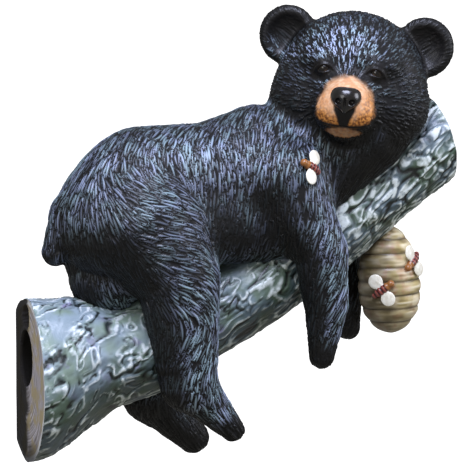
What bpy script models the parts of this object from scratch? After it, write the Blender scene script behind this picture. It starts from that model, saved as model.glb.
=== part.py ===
"""A bear cub of painted cast resin, resting over a cut branch that carries a coiled beehive and three bees.

Metres, +Z up. The origin lies on the flat cut face at the branch's thick end, which goes against a tree or
a wall: that face is the plane X = 0, the branch runs along +X and rises, and the viewer stands on the -Y side.
The bear is a free form. Its balls and blends are hundredths of its own length, from the place where its
belly lies on the branch.
"""

import math

import bmesh
import bpy
import numpy as np
from mathutils import Matrix, Vector, noise

# Bonded pieces keep this much room between them.
GAP = 0.0003

# The bear, from its rump to its far cheek.
BEAR_LENGTH = 0.360
SHARE = BEAR_LENGTH / 100
FORM_STEP = 0.0036
BEAR_FACES = 4600

# The branch: its length along X, the slopes at its ends, how soon it bends from one to the other, and where
# its thick end swells upwards.
BRANCH_LENGTH = 0.398
FACE_TO_AXIS = 0.036
ROOT_SLOPE = 0.12
TIP_SLOPE = 0.75
BEND_LENGTH = 0.265
ROOT_SWELL = 0.0085
SWELL_PLACE = 0.055
SWELL_LENGTH = 0.035
BRANCH_RADIUS = 0.039
FLARE = 0.034
FLARE_LENGTH = 0.072
FLARE_POWER = 1.5
TIP_CUT_ANGLE = math.radians(18)
BACK_FLAT = 0.042
BACK_FLAT_LENGTH = 0.075
BARK_DEPTH = 0.0018
BARK_PLATE = 0.024
BRANCH_SIDES = 32
RING_SPACING = 0.0155

# The hollow in the cut face, and the shallow pocket above it.
HOLLOW_RADIUS = 0.026
HOLLOW_DEPTH = 0.045
HOLLOW_ABOVE_MOUNT = 0.056
POCKET_RADIUS = 0.011
POCKET_DEPTH = 0.006
SOCKET_TAPER = 0.12

# Where the bear's belly lies, as a share of the branch's run.
BELLY_ALONG = 0.4636

# The beehive, and where it hangs.
HIVE_HEIGHT = 0.103
HIVE_WIDEST = 0.57
HIVE_RADIUS = 0.0295
HIVE_COILS = 8
COIL_BULGE = 0.0018
HIVE_SIDES = 24
HIVE_ALONG = 0.873
HIVE_INTO_BRANCH = 0.004
HIVE_LEAN = math.radians(-3)

# The bees.
BEE_LENGTH = 0.0265
BEE_STEP = BEE_LENGTH / 60
BEE_FACES = 250
BEE_BODY = [((0.36, 0, 0.07), 0.135), ((0.14, 0, 0.08), 0.155), ((-0.14, 0, 0.07), 0.16), ((-0.41, 0, 0.03), 0.085)]
BEE_WING = ((-0.02, 0.37, 0.13), (0.26, 0.27, 0.045))
BEE_WING_BASE = ((0.12, 0.10, 0.10), (0.02, 0.34, 0.13))
BEE_WING_BASE_RADIUS = 0.05
SHOULDER_BEE_PLACE = (16.9, 0, 24.6)
SHOULDER_BEE_HEADING = math.radians(160)
HIVE_BEES = [
    ("bee_front_of_hive", 0.57, math.radians(-28), math.radians(33)),
    ("bee_side_of_hive", 0.32, math.radians(34), math.radians(215)),
]

RESIN_BLACK = ("bear_resin", (0.012, 0.013, 0.018, 1), 0.35)
RESIN_BARK = ("bark_resin", (0.16, 0.20, 0.17, 1), 0.5)
RESIN_STRAW = ("hive_resin", (0.46, 0.38, 0.22, 1), 0.5)
RESIN_BEE = ("bee_resin", (0.30, 0.09, 0.06, 1), 0.4)


def bend(x):
    """The height of the branch's axis over the mount, and its slope, at each X."""
    x = np.asarray(x, float)
    bent = np.clip(x, 0, BEND_LENGTH)
    gain = (TIP_SLOPE - ROOT_SLOPE) / BEND_LENGTH
    slope = ROOT_SLOPE + gain * bent
    height = FACE_TO_AXIS + ROOT_SLOPE * x + gain * bent * (x - bent / 2)
    swell = ROOT_SWELL * np.exp(-(((x - SWELL_PLACE) / SWELL_LENGTH) ** 2))
    return height + swell, slope


def limb_radius(x):
    """The branch's radius under its bark, flaring towards the cut face."""
    return BRANCH_RADIUS + FLARE * np.exp(-((np.clip(x, 0, None) / FLARE_LENGTH) ** FLARE_POWER))


def axis_frame(x):
    """The axis point at X, with the branch's forward and upward directions there."""
    height, slope = bend(x)
    forward = Vector((1, 0, float(slope))).normalized()
    up = Vector((-forward.z, 0, forward.x))
    return Vector((x, 0, float(height))), forward, up


def bark(x, angle):
    """How far the bark stands proud at one place, in plates with furrows between them."""
    around = BRANCH_RADIUS * 1.2
    place = Vector((x * 0.6, math.cos(angle) * around, math.sin(angle) * around)) / BARK_PLATE
    plates = noise.fractal(place, 1.0, 2.0, 2)
    return BARK_DEPTH * max(-1.0, min(1.0, 1.6 * plates))


def smooth_min(a, b, width):
    """The smaller of two distances, with the corner between them rounded over the width."""
    near = np.clip(width - np.abs(a - b), 0, None) / width
    return np.minimum(a, b) - near * near * width / 4


def ellipsoid(points, centre, radii):
    """The distance to an ellipsoid, close enough near its surface."""
    scaled = (points - centre) / radii
    length = np.linalg.norm(scaled, axis=-1)
    steep = np.linalg.norm(scaled / radii, axis=-1)
    return length * (length - 1) / np.maximum(steep, 1e-9)


def chain(points, balls):
    """The distance to a row of balls, each (place, radius), with straight sides between them."""
    nearest = np.full(len(points), np.inf)
    for (start, first), (end, last) in zip(balls, balls[1:]):
        start, end = np.array(start, float), np.array(end, float)
        run = end - start
        along = np.clip((points - start) @ run / (run @ run), 0, 1)
        away = np.linalg.norm(points - start - along[:, None] * run, axis=-1)
        nearest = np.minimum(nearest, away - first - along * (last - first))
    return nearest


# The bear's balls: place from where its belly lies, and radius, in hundredths of its length.
TRUNK = [((-20.7, 0, 17.9), 16.8), ((-4, 0, 19), 16.5), ((9.5, 0, 26.5), 13.5)]
BUTTOCK = [((-29.8, -3, 9.6), 13.5), ((-29.8, 3, 9.6), 13.5), ((-30.5, 0, -3), 9.5)]
BELLY = [((-6.5, 6, 10.3), 10.5), ((9.5, 6, 9), 9)]
TAIL = [((-39.9, 0, 12.9), 5), ((-43.5, 0, 3.6), 3.5)]
NECK = [((20, 0, 26), 11), ((29.8, 1, 41.2), 14.6)]
THROAT = [((25, -5, 21), 9), ((36, -8, 33), 11), ((42, -3, 37), 9)]
NEAR_FORELEG = [
    ((12.5, -10.5, 21), 10.5),
    ((21.5, -15, 3), 6.8),
    ((23.3, -14, -10.5), 5.6),
    ((22.5, -13, -23.7), 3.2),
]
FAR_FORELEG = [
    ((24, 10.5, 21), 10),
    ((36.5, 14, 6), 6),
    ((38.8, 12.5, -5.5), 4.4),
    ((38.8, 11.5, -19.5), 3.4),
]
NEAR_HIND_LEG = [
    ((-22, -9, 9.5), 13.5),
    ((-15.5, -13, -3), 10.5),
    ((-13.5, -13, -23), 8),
    ((-12.8, -13, -29), 7),
]
NEAR_FOOT = [((-12.8, -13, -29), 6.5), ((-1.2, -12.5, -41.3), 3.1)]
FAR_HIND_LEG = [
    ((-22, 9, 9.5), 13.5),
    ((-15, 13.5, -4), 9.5),
    ((-15, 13.5, -24), 8),
    ((-15, 13, -35.5), 7.2),
]
FAR_FOOT = [((-15, 13, -35.5), 7.2), ((-4, 12.5, -47.2), 4.2)]
LIMB_BLEND = 4.5
TRUNK_BLEND = 9
COLLAR_BLEND = 3
BEAR_ROOM = ((-52, -36, -56), (62, 30, 72))

# The head: its middle, the way it faces, and its own balls from its middle as (across, forward, up).
HEAD_MIDDLE = (34, -3.5, 45.5)
HEAD_TURN = math.radians(-24)
HEAD_NOD = math.radians(4)
HEAD_TILT = math.radians(5.5)
SKULL_RADII = (18.8, 16.5, 18.5)
CHEEK = ((10.5, 4.0, -6.0), (9.0, 9.5, 8.5))
BROW = ((6.8, 11.8, 6.6), (5.0, 4.4, 2.6))
MUZZLE = [((0, 10, -3.5), 9.0), ((0, 19.5, -4.5), 6.6)]
CHOPS = [((3.0, 18.5, -6.5), 4.8), ((3.6, 20.5, -6.0), 4.2)]
CHIN = [((0, 10, -9.5), 6.0), ((0, 18.5, -9.6), 3.9)]
NOSE = ((0, 25.2, -2.2), (3.9, 2.6, 3.1))
EYE = ((6.6, 15.0, 4.3), 1.9)
EAR_MIDDLE = (17.7, -2.5, 10.6)
EAR_RADII = (7.5, 2.9, 7.8)
EAR_CUP = (5.2, 2.7, 5.5)
FACE_BLEND = 3.5


def head_axes():
    """The head's own across, forward and up directions, as the rows of a matrix."""
    turn = Matrix.Rotation(math.pi + HEAD_TURN, 3, "Z")
    nod = Matrix.Rotation(-HEAD_NOD, 3, "X")
    tilt = Matrix.Rotation(-HEAD_TILT, 3, "Y")
    return np.array((turn @ nod @ tilt).transposed())


def head_form(points):
    """The distance to the head, in hundredths of the bear's length."""
    local = (points - np.array(HEAD_MIDDLE)) @ head_axes().T
    paired = local * (np.sign(local[:, :1]) * (1, 0, 0) + (0, 1, 1))
    form = ellipsoid(local, np.zeros(3), np.array(SKULL_RADII))
    form = smooth_min(form, ellipsoid(paired, *map(np.array, CHEEK)), 2 * FACE_BLEND)
    form = smooth_min(form, ellipsoid(paired, *map(np.array, BROW)), FACE_BLEND)
    form = smooth_min(form, chain(local, MUZZLE), FACE_BLEND)
    form = smooth_min(form, chain(local, CHIN), FACE_BLEND / 2)
    form = smooth_min(form, chain(paired, CHOPS), FACE_BLEND / 2)
    form = smooth_min(form, ellipsoid(local, *map(np.array, NOSE)), 0.8)
    form = smooth_min(form, ellipsoid(paired, np.array(EYE[0]), np.full(3, EYE[1])), 1)
    return smooth_min(form, ear_form(paired), 1.8)


def ear_form(paired):
    """The distance to a round ear, hollowed at its front."""
    place = paired - np.array(EAR_MIDDLE)
    shell = ellipsoid(place, np.zeros(3), np.array(EAR_RADII))
    hollow = ellipsoid(place, np.array((0, EAR_RADII[1], 0)), np.array(EAR_CUP))
    return -smooth_min(-shell, hollow, 1.2)


def bear_form(points):
    """The distance to the whole bear, in hundredths of its length."""
    form = chain(points, TRUNK)
    form = smooth_min(form, chain(points, BUTTOCK), TRUNK_BLEND)
    form = smooth_min(form, chain(np.abs(points * (0, 1, 0)) + points * (1, 0, 1), BELLY), LIMB_BLEND)
    form = smooth_min(form, chain(points, NECK), COLLAR_BLEND)
    form = smooth_min(form, chain(points, THROAT), TRUNK_BLEND)
    form = smooth_min(form, chain(points, TAIL), LIMB_BLEND / 2)
    for balls in (NEAR_FORELEG, FAR_FORELEG, NEAR_HIND_LEG, FAR_HIND_LEG):
        form = smooth_min(form, chain(points, balls), LIMB_BLEND)
    for balls in (NEAR_FOOT, FAR_FOOT):
        form = smooth_min(form, chain(points, balls), LIMB_BLEND / 2)
    return smooth_min(form, head_form(points), LIMB_BLEND / 2)


def polygonise(form, low, high, step):
    """Points and outward quads of the surface where the form is nothing, one point in each cell it crosses."""
    axes = [np.arange(start, end + step, step) for start, end in zip(low, high)]
    grid = np.stack(np.meshgrid(*axes, indexing="ij"), axis=-1)
    values = form(grid.reshape(-1, 3)).reshape(grid.shape[:3])
    cells = np.array(values.shape) - 1
    total = np.zeros((*cells, 3))
    count = np.zeros(cells)
    crossings = []
    for axis in range(3):
        before = np.take(values, range(values.shape[axis] - 1), axis)
        after = np.take(values, range(1, values.shape[axis]), axis)
        place = np.argwhere((before < 0) != (after < 0))
        near, far = before[tuple(place.T)], after[tuple(place.T)]
        point = place.astype(float)
        point[:, axis] += near / (near - far)
        others = [other for other in range(3) if other != axis]
        inner = (place[:, others] > 0).all(axis=1) & (place[:, others] < cells[others]).all(axis=1)
        place, point, near = place[inner], point[inner], near[inner]
        corners = []
        for back in ((0, 0), (1, 0), (1, 1), (0, 1)):
            cell = place.copy()
            cell[:, others] -= back
            np.add.at(total, tuple(cell.T), point)
            np.add.at(count, tuple(cell.T), 1)
            corners.append(np.ravel_multi_index(tuple(cell.T), tuple(cells)))
        quads = np.stack(corners, axis=1)
        flip = (near < 0) != (axis == 1)
        quads[~flip] = quads[~flip][:, ::-1]
        crossings.append(quads)
    used = np.flatnonzero(count)
    points = total.reshape(-1, 3)[used] / count.reshape(-1)[used, None]
    renumber = np.full(count.size, -1)
    renumber[used] = np.arange(len(used))
    return points * step + np.array(low, float), renumber[np.concatenate(crossings)]


def material(name, colour, roughness):
    """A plain coat of paint."""
    made = bpy.data.materials.new(name)
    made.use_nodes = True
    shader = made.node_tree.nodes["Principled BSDF"]
    shader.inputs["Base Color"].default_value = colour
    shader.inputs["Roughness"].default_value = roughness
    made.diffuse_color = colour
    return made


def add_object(name, mesh, coat=None):
    """Adds the mesh to the scene under this name, shaded smooth, with its coat of paint."""
    made = bpy.data.objects.new(name, mesh)
    bpy.context.scene.collection.objects.link(made)
    mesh.shade_smooth()
    if coat:
        mesh.materials.append(material(*coat))
    return made


def mesh_of(name, points, faces):
    """A mesh from points and faces."""
    mesh = bpy.data.meshes.new(name)
    mesh.from_pydata([tuple(point) for point in points], [], [tuple(face) for face in faces])
    mesh.validate()
    return mesh


def hide(cutter):
    """Keeps a cutter out of the model."""
    cutter.hide_render = True
    cutter.display_type = "WIRE"


def cut(target, cutter):
    """Takes the cutter's shape out of the target."""
    difference = target.modifiers.new("cut_" + cutter.name, "BOOLEAN")
    difference.operation = "DIFFERENCE"
    difference.object = cutter


def even_out(target, voxel, face_count):
    """Gives a form's mesh an even closed skin, then thins it to about so many triangles."""
    skin = target.modifiers.new("even_skin", "REMESH")
    skin.mode = "VOXEL"
    skin.voxel_size = voxel
    skin.use_smooth_shade = True
    graph = bpy.context.evaluated_depsgraph_get()
    even_count = len(target.evaluated_get(graph).data.polygons)
    fewer = target.modifiers.new("fewer_faces", "DECIMATE")
    fewer.ratio = face_count / (2 * even_count)


def branch_mesh(name, clearance):
    """The branch between its two cuts, this much larger than the real one all round."""
    shape = bmesh.new()
    rings = []
    count = round((BRANCH_LENGTH + 2 * BRANCH_RADIUS) * (1 + TIP_SLOPE**2 / 4) / RING_SPACING)
    for x in np.linspace(-BRANCH_RADIUS, BRANCH_LENGTH + BRANCH_RADIUS, count):
        centre, _, up = axis_frame(x)
        radius = float(limb_radius(x))
        rounding = min(1, max(0, x / BACK_FLAT_LENGTH)) ** 2
        side_flat = BACK_FLAT + (radius + BARK_DEPTH - BACK_FLAT) * rounding
        ring = []
        for i in range(BRANCH_SIDES):
            angle = 2 * math.pi * i / BRANCH_SIDES
            reach = radius + bark(x, angle)
            across = min(math.sin(angle) * reach, side_flat) + clearance * math.sin(angle)
            upward = math.cos(angle) * (reach + clearance)
            ring.append(shape.verts.new(centre + up * upward + Vector((0, across, 0))))
        rings.append(ring)
    for first, second in zip(rings, rings[1:]):
        for i in range(BRANCH_SIDES):
            j = (i + 1) % BRANCH_SIDES
            shape.faces.new((first[i], second[i], second[j]))
            shape.faces.new((first[i], second[j], first[j]))
    shape.faces.new(rings[0])
    shape.faces.new(reversed(rings[-1]))
    tip, _, _ = axis_frame(BRANCH_LENGTH)
    tip_normal = Vector((math.cos(TIP_CUT_ANGLE), 0, math.sin(TIP_CUT_ANGLE)))
    cuts = ((Vector((-clearance, 0, 0)), Vector((-1, 0, 0))), (tip + tip_normal * clearance, tip_normal))
    for place, outward in cuts:
        everything = shape.verts[:] + shape.edges[:] + shape.faces[:]
        made = bmesh.ops.bisect_plane(
            shape, geom=everything, plane_co=place, plane_no=outward, clear_outer=True
        )
        rim = [item for item in made["geom_cut"] if isinstance(item, bmesh.types.BMEdge)]
        bmesh.ops.edgeloop_fill(shape, edges=rim)
    bmesh.ops.recalc_face_normals(shape, faces=shape.faces)
    mesh = bpy.data.meshes.new(name)
    shape.to_mesh(mesh)
    shape.free()
    return mesh


def socket_cutter(name, radius, depth, above):
    """A round plug that takes a blind hole out of the cut face, this far above the mount."""
    shape = bmesh.new()
    mouth, bottom = radius * (1 + SOCKET_TAPER), radius * (1 - SOCKET_TAPER)
    bmesh.ops.create_cone(
        shape, cap_ends=True, segments=24, radius1=mouth, radius2=bottom, depth=2 * depth
    )
    mesh = bpy.data.meshes.new(name)
    shape.to_mesh(mesh)
    shape.free()
    plug = add_object(name, mesh)
    plug.rotation_euler = (0, math.radians(90), 0)
    plug.location = (0, 0, above)
    hide(plug)
    return plug


def make_branch():
    """The branch with its hollow and pocket."""
    made = add_object("branch", branch_mesh("branch", 0), RESIN_BARK)
    cut(made, socket_cutter("hollow", HOLLOW_RADIUS, HOLLOW_DEPTH, HOLLOW_ABOVE_MOUNT))
    above_hollow = HOLLOW_ABOVE_MOUNT + HOLLOW_RADIUS + POCKET_RADIUS
    cut(made, socket_cutter("pocket", POCKET_RADIUS, POCKET_DEPTH, above_hollow))
    return made


def branch_cutter():
    """The branch's room in what is bonded to it."""
    made = add_object("branch_room", branch_mesh("branch_room", GAP))
    hide(made)
    return made


def belly_place():
    """Where the bear's belly lies on the branch."""
    x = BELLY_ALONG * BRANCH_LENGTH
    height, _ = bend(x)
    return np.array((x, 0, float(height) + float(limb_radius(x))))


def make_bear(room):
    """The bear, carved from its form and hollowed where the branch passes."""
    points, faces = polygonise(bear_form, *BEAR_ROOM, FORM_STEP / SHARE)
    points = points * SHARE + belly_place()
    made = add_object("bear", mesh_of("bear", points, faces), RESIN_BLACK)
    even_out(made, FORM_STEP, BEAR_FACES)
    cut(made, room)
    return made


def hive_top():
    """Where the hive's top lies, inside the branch's underside."""
    centre, _, up = axis_frame(HIVE_ALONG * BRANCH_LENGTH)
    radius = float(limb_radius(centre.x))
    return centre - Vector((0, 0, 1)) * (radius / up.z - HIVE_INTO_BRANCH)


def hive_radius(down):
    """The hive's radius at a share of its height from the top: a skep with coils that bulge."""
    reach = HIVE_WIDEST if down < HIVE_WIDEST else 1 - HIVE_WIDEST
    egg = (1 - (abs(down - HIVE_WIDEST) / reach) ** 2.3) ** 0.55
    coil = abs(math.sin(math.pi * HIVE_COILS * down))
    return HIVE_RADIUS * egg - COIL_BULGE * (1 - coil)


def make_hive(room):
    """The coiled hive, turned about its own axis and hung under the branch."""
    shape = bmesh.new()
    rows = HIVE_COILS * 2
    profile = []
    for row in range(rows + 1):
        down = row / rows
        radius = max(hive_radius(down), 0) if 0 < row < rows else 0
        profile.append(shape.verts.new((radius, 0, -down * HIVE_HEIGHT)))
    edges = [shape.edges.new(pair) for pair in zip(profile, profile[1:])]
    bmesh.ops.spin(
        shape, geom=profile + edges, cent=(0, 0, 0), axis=(0, 0, 1), angle=2 * math.pi, steps=HIVE_SIDES
    )
    bmesh.ops.remove_doubles(shape, verts=shape.verts, dist=1e-5)
    bmesh.ops.recalc_face_normals(shape, faces=shape.faces)
    mesh = bpy.data.meshes.new("beehive")
    shape.to_mesh(mesh)
    shape.free()
    made = add_object("beehive", mesh, RESIN_STRAW)
    made.location = hive_top()
    made.rotation_euler = (0, HIVE_LEAN, 0)
    cut(made, room)
    return made


def hive_form(points):
    """The distance to the hive, in metres, near its side."""
    local = (points - np.array(hive_top())) @ np.array(Matrix.Rotation(HIVE_LEAN, 3, "Y"))
    down = np.clip(-local[:, 2] / HIVE_HEIGHT, 0, 1)
    radius = np.array([hive_radius(share) for share in down])
    return np.linalg.norm(local[:, :2], axis=1) - radius


def bee_form(points):
    """The distance to a bee that faces +X with its back up, in lengths of the bee."""
    paired = np.stack([points[:, 0], np.abs(points[:, 1]), points[:, 2]], axis=1)
    form = chain(paired, BEE_BODY)
    form = smooth_min(form, ellipsoid(paired, *map(np.array, BEE_WING)), 0.02)
    base, end = BEE_WING_BASE
    return smooth_min(form, chain(paired, [(base, BEE_WING_BASE_RADIUS), (end, BEE_WING_BASE_RADIUS)]), 0.03)


def seat(form, start, direction, heading):
    """A bee's place where a ray first meets the form, and its rows: forward, across and out of the surface."""
    reach = np.arange(0, BEAR_LENGTH / 2, BEE_STEP / 2)
    ray = np.array(start) + reach[:, None] * np.array(direction)
    place = ray[np.argmax(form(ray) < 0)]
    nudge = np.eye(3) * 0.001
    out = Vector(form(place + nudge) - form(place - nudge)).normalized()
    forward = Vector((math.cos(heading), 0, math.sin(heading)))
    forward = (forward - out * forward.dot(out)).normalized()
    return place, np.array((forward, out.cross(forward), out))


def make_bee(name, form, place, rows):
    """A bee bonded to the form, hollowed underneath to fit it."""

    def seated(points):
        bee = bee_form(points)
        host = form(points * BEE_LENGTH @ rows + place)
        return np.maximum(bee, (GAP + BEE_STEP / 2 - host) / BEE_LENGTH)

    reach = np.array((0.6, 0.78, 0.3))
    points, faces = polygonise(seated, -reach, reach, BEE_STEP / BEE_LENGTH)
    made = add_object(name, mesh_of(name, points * BEE_LENGTH @ rows + place, faces), RESIN_BEE)
    even_out(made, BEE_STEP, BEE_FACES)
    return made


def bear_in_place(points):
    """The distance to the bear where it lies, in metres."""
    return bear_form((points - belly_place()) / SHARE) * SHARE


def make_bees():
    """The bee on the near shoulder and the two on the hive."""
    x, _, z = belly_place() + np.array(SHOULDER_BEE_PLACE) * SHARE
    place, rows = seat(bear_in_place, (x, -BEAR_LENGTH / 2, z), (0, 1, 0), SHOULDER_BEE_HEADING)
    make_bee("bee_on_shoulder", bear_in_place, place, rows)
    for name, down, around, heading in HIVE_BEES:
        outward = np.array((math.sin(around), -math.cos(around), 0))
        height = np.array(hive_top()) - np.array((0, 0, down * HIVE_HEIGHT))
        place, rows = seat(hive_form, height + outward * 2 * HIVE_RADIUS, -outward, heading)
        make_bee(name, hive_form, place, rows)


for thing in list(bpy.data.objects):
    bpy.data.objects.remove(thing, do_unlink=True)
branch = make_branch()
room = branch_cutter()
bear = make_bear(room)
hive = make_hive(room)
make_bees()
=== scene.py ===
"""The looks of the bear cub statue: cast resin painted by hand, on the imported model's frame.

The bear's fur, the branch's bark, the hive's coils and the bees are relief in mesh, worked out here from the
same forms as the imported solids. Metres, +Z up, with the cut face of the branch on the plane X = 0.
"""

import math

import bpy
import numpy as np
from mathutils import Matrix, Vector, noise


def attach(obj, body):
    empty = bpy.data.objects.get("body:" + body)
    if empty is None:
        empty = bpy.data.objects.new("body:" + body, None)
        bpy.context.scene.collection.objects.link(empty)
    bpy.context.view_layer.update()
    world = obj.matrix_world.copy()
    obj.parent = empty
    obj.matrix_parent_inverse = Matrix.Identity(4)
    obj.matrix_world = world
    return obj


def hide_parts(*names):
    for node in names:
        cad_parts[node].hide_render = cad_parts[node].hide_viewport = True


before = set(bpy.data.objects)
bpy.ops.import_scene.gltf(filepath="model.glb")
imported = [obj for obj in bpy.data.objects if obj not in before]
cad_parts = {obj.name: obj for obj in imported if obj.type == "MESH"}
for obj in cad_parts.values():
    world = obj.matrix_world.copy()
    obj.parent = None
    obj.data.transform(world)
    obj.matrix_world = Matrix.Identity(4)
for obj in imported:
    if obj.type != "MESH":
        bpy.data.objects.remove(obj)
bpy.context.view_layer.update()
chance = np.random.default_rng(7)

# The photograph's view: the way back to the camera, its distance, and half the width that it takes in.
VIEW_AZIMUTH = math.radians(-18)
VIEW_ELEVATION = math.radians(4.5)
VIEW_DISTANCE = 2.0
VIEW_HALF_WIDTH = 0.2115
PHOTO_SIDE = 470
ORIGIN_IN_PHOTO = (26.5, 420)
SENSOR_WIDTH = 36

# The studio's soft lights: side, power, place and colour. They all aim at the statue's middle.
SOFTBOXES = [
    ("overhead_softbox", 0.9, 38, (0.05, -0.8, 1.4), "#DCE2FF"),
    ("front_left_softbox", 0.9, 8, (-1.2, -1.5, 0.75), "#FFFFFF"),
    ("right_softbox", 0.7, 10, (1.5, -0.7, 0.6), "#EEF1FF"),
]
LIGHTS_AIM = (0.2, 0, 0.15)

# The bear, from its rump to its far cheek. Its balls below are hundredths of this length.
BEAR_LENGTH = 0.360
SHARE = BEAR_LENGTH / 100

# The branch.
BRANCH_LENGTH = 0.398
FACE_TO_AXIS = 0.036
ROOT_SLOPE = 0.12
TIP_SLOPE = 0.75
BEND_LENGTH = 0.265
ROOT_SWELL = 0.0085
SWELL_PLACE = 0.055
SWELL_LENGTH = 0.035
BRANCH_RADIUS = 0.039
FLARE = 0.034
FLARE_LENGTH = 0.072
FLARE_POWER = 1.5
TIP_CUT_ANGLE = math.radians(18)
BACK_FLAT = 0.042
BACK_FLAT_LENGTH = 0.075
BARK_DEPTH = 0.0018
BARK_PLATE = 0.024
HOLLOW_RADIUS = 0.026
HOLLOW_DEPTH = 0.045
HOLLOW_ABOVE_MOUNT = 0.056
POCKET_RADIUS = 0.011
POCKET_DEPTH = 0.006
SOCKET_TAPER = 0.12
BELLY_ALONG = 0.4636

# The hive, where it hangs, and how deep its straw strands and knots are.
HIVE_HEIGHT = 0.103
HIVE_WIDEST = 0.57
HIVE_RADIUS = 0.0295
HIVE_COILS = 8
COIL_BULGE = 0.0018
HIVE_ALONG = 0.873
HIVE_INTO_BRANCH = 0.004
HIVE_LEAN = math.radians(-3)
STRAND_DEPTH = 0.0003
KNOT_DEPTH = 0.0006

# The bees.
BEE_LENGTH = 0.0265
BEE_BODY = [
    ((0.36, 0, 0.07), 0.135),
    ((0.14, 0, 0.08), 0.155),
    ((-0.14, 0, 0.07), 0.16),
    ((-0.41, 0, 0.03), 0.085),
]
BEE_WING = ((-0.02, 0.37, 0.13), (0.26, 0.27, 0.045))
BEE_WING_BASE = ((0.12, 0.10, 0.10), (0.02, 0.34, 0.13))
BEE_WING_BASE_RADIUS = 0.05
BEE_STRIPE = 0.155
BEE_INTO_HOST = 0.0006
SHOULDER_BEE_PLACE = (16.9, 0, 24.6)
SHOULDER_BEE_HEADING = math.radians(160)
HIVE_BEES = [
    ("bee_front_of_hive", 0.57, math.radians(-28), math.radians(33)),
    ("bee_side_of_hive", 0.32, math.radians(34), math.radians(215)),
]

# The cut wood: the spacing of the painted streaks in millimetres, how deep they are carved at the thick end,
# how uneven the hollow's wall is, and the spacing and depth of the growth rings in the sunk face at the thin
# end.
STREAK_MM = 2.6
STREAK_DEPTH = 0.0007
WALL_UNEVEN = 0.0006
GROWTH_RING = 0.0022
GROWTH_RING_DEPTH = 0.00022
TIP_FACE_SUNK = 0.0009

# How finely each relief is carved: the spacing of its points. The allowance is for the branch's run along its
# slope, which is longer than along X.
COARSE_STEP = 0.0033
BARK_STEP = 0.00115
FAR_BARK_STEP = 0.002
SLOPE_ALLOWANCE = 1.18
HIVE_STEP = 0.001
BEE_STEP = 0.0005
NOSE_STEP = 0.00055

# How many cells the lattice of soft noise has each way.
LATTICE = 32

# The fur: strokes of a modelling tool, each as long and as wide as this, how deep they are cut, how many lie
# over each other, and how small those of the face are beside the body's. The level is the height, from 0 to
# 1, that lies on the plain form.
FUR_LENGTH = 0.022
FUR_WIDTH = 0.0033
FUR_DEPTH = 0.0018
FUR_LAYERS = 2.2
FACE_FUR = 0.38
FUR_LEVEL = 0.6

# The bark: plates parted by creases, how deep all its relief is cut, and the height, from 0 to 1, that lies
# on the plain form.
PLATE_LENGTH = 0.019
PLATE_WIDTH = 0.012
CREASE_WIDTH = 0.0013
CREASE_DEPTH = 0.0021
BARK_LEVEL = 0.65

# Its winding edges, coarse to fine: how far apart they lie, how far they are drawn out along the branch, how
# high they stand, and the seed of their noise. Then how broad an edge is, and how the grain turns round the
# branch, in radians a metre.
BARK_LINES = [(0.0115, 0.22, 0.4, 29), (0.0085, 0.42, 0.34, 30), (0.006, 0.8, 0.3, 31)]
BARK_EDGE = 0.0011
BARK_TWIST = 4.0

# The bear's balls: place from where its belly lies, and radius, in hundredths of its length.
TRUNK = [((-20.7, 0, 17.9), 16.8), ((-4, 0, 19), 16.5), ((9.5, 0, 26.5), 13.5)]
BUTTOCK = [((-29.8, -3, 9.6), 13.5), ((-29.8, 3, 9.6), 13.5), ((-30.5, 0, -3), 9.5)]
BELLY = [((-6.5, 6, 10.3), 10.5), ((9.5, 6, 9), 9)]
TAIL = [((-39.9, 0, 12.9), 5), ((-43.5, 0, 3.6), 3.5)]
NECK = [((20, 0, 26), 11), ((29.8, 1, 41.2), 14.6)]
THROAT = [((25, -5, 21), 9), ((36, -8, 33), 11), ((42, -3, 37), 9)]
NEAR_FORELEG = [
    ((12.5, -10.5, 21), 10.5),
    ((21.5, -15, 3), 6.8),
    ((23.3, -14, -10.5), 5.6),
    ((22.5, -13, -23.7), 3.2),
]
FAR_FORELEG = [
    ((24, 10.5, 21), 10),
    ((36.5, 14, 6), 6),
    ((38.8, 12.5, -5.5), 4.4),
    ((38.8, 11.5, -19.5), 3.4),
]
NEAR_HIND_LEG = [
    ((-22, -9, 9.5), 13.5),
    ((-15.5, -13, -3), 10.5),
    ((-13.5, -13, -23), 8),
    ((-12.8, -13, -29), 7),
]
NEAR_FOOT = [((-12.8, -13, -29), 6.5), ((-1.2, -12.5, -41.3), 3.1)]
FAR_HIND_LEG = [
    ((-22, 9, 9.5), 13.5),
    ((-15, 13.5, -4), 9.5),
    ((-15, 13.5, -24), 8),
    ((-15, 13, -35.5), 7.2),
]
FAR_FOOT = [((-15, 13, -35.5), 7.2), ((-4, 12.5, -47.2), 4.2)]
LIMB_BLEND = 4.5
TRUNK_BLEND = 9
COLLAR_BLEND = 3
BEAR_ROOM = ((-52, -36, -56), (62, 30, 72))
BEAR_INTO_BRANCH = 0.005

# Where the bear is parted: faces turned to the view more than this are its near side, those ahead of this
# place are its fore part, and those below this one are its legs.
SEEN_FACING = -0.1
FORE_PART_AHEAD = 2
LEG_PART_BELOW = 8

# The head: its middle, the way it faces, and its own balls from its middle as (across, forward, up).
HEAD_MIDDLE = (34, -3.5, 45.5)
HEAD_TURN = math.radians(-24)
HEAD_NOD = math.radians(4)
HEAD_TILT = math.radians(5.5)
SKULL_RADII = (18.8, 16.5, 18.5)
CHEEK = ((10.5, 4.0, -6.0), (9.0, 9.5, 8.5))
BROW = ((6.8, 11.8, 6.6), (5.0, 4.4, 2.6))
MUZZLE = [((0, 10, -3.5), 9.0), ((0, 19.5, -4.5), 6.6)]
CHOPS = [((3.0, 18.5, -6.5), 4.8), ((3.6, 20.5, -6.0), 4.2)]
CHIN = [((0, 10, -9.5), 6.0), ((0, 18.5, -9.6), 3.9)]
NOSE_TIP = (0, 25.2, -2.2)
NOSE_MIDDLE = (0, 24.0, -2.1)
NOSE_RADII = (4.0, 3.7, 4.0)
NOSTRIL = ((1.8, 27.4, -2.6), (0.9, 1.5, 0.8))
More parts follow.
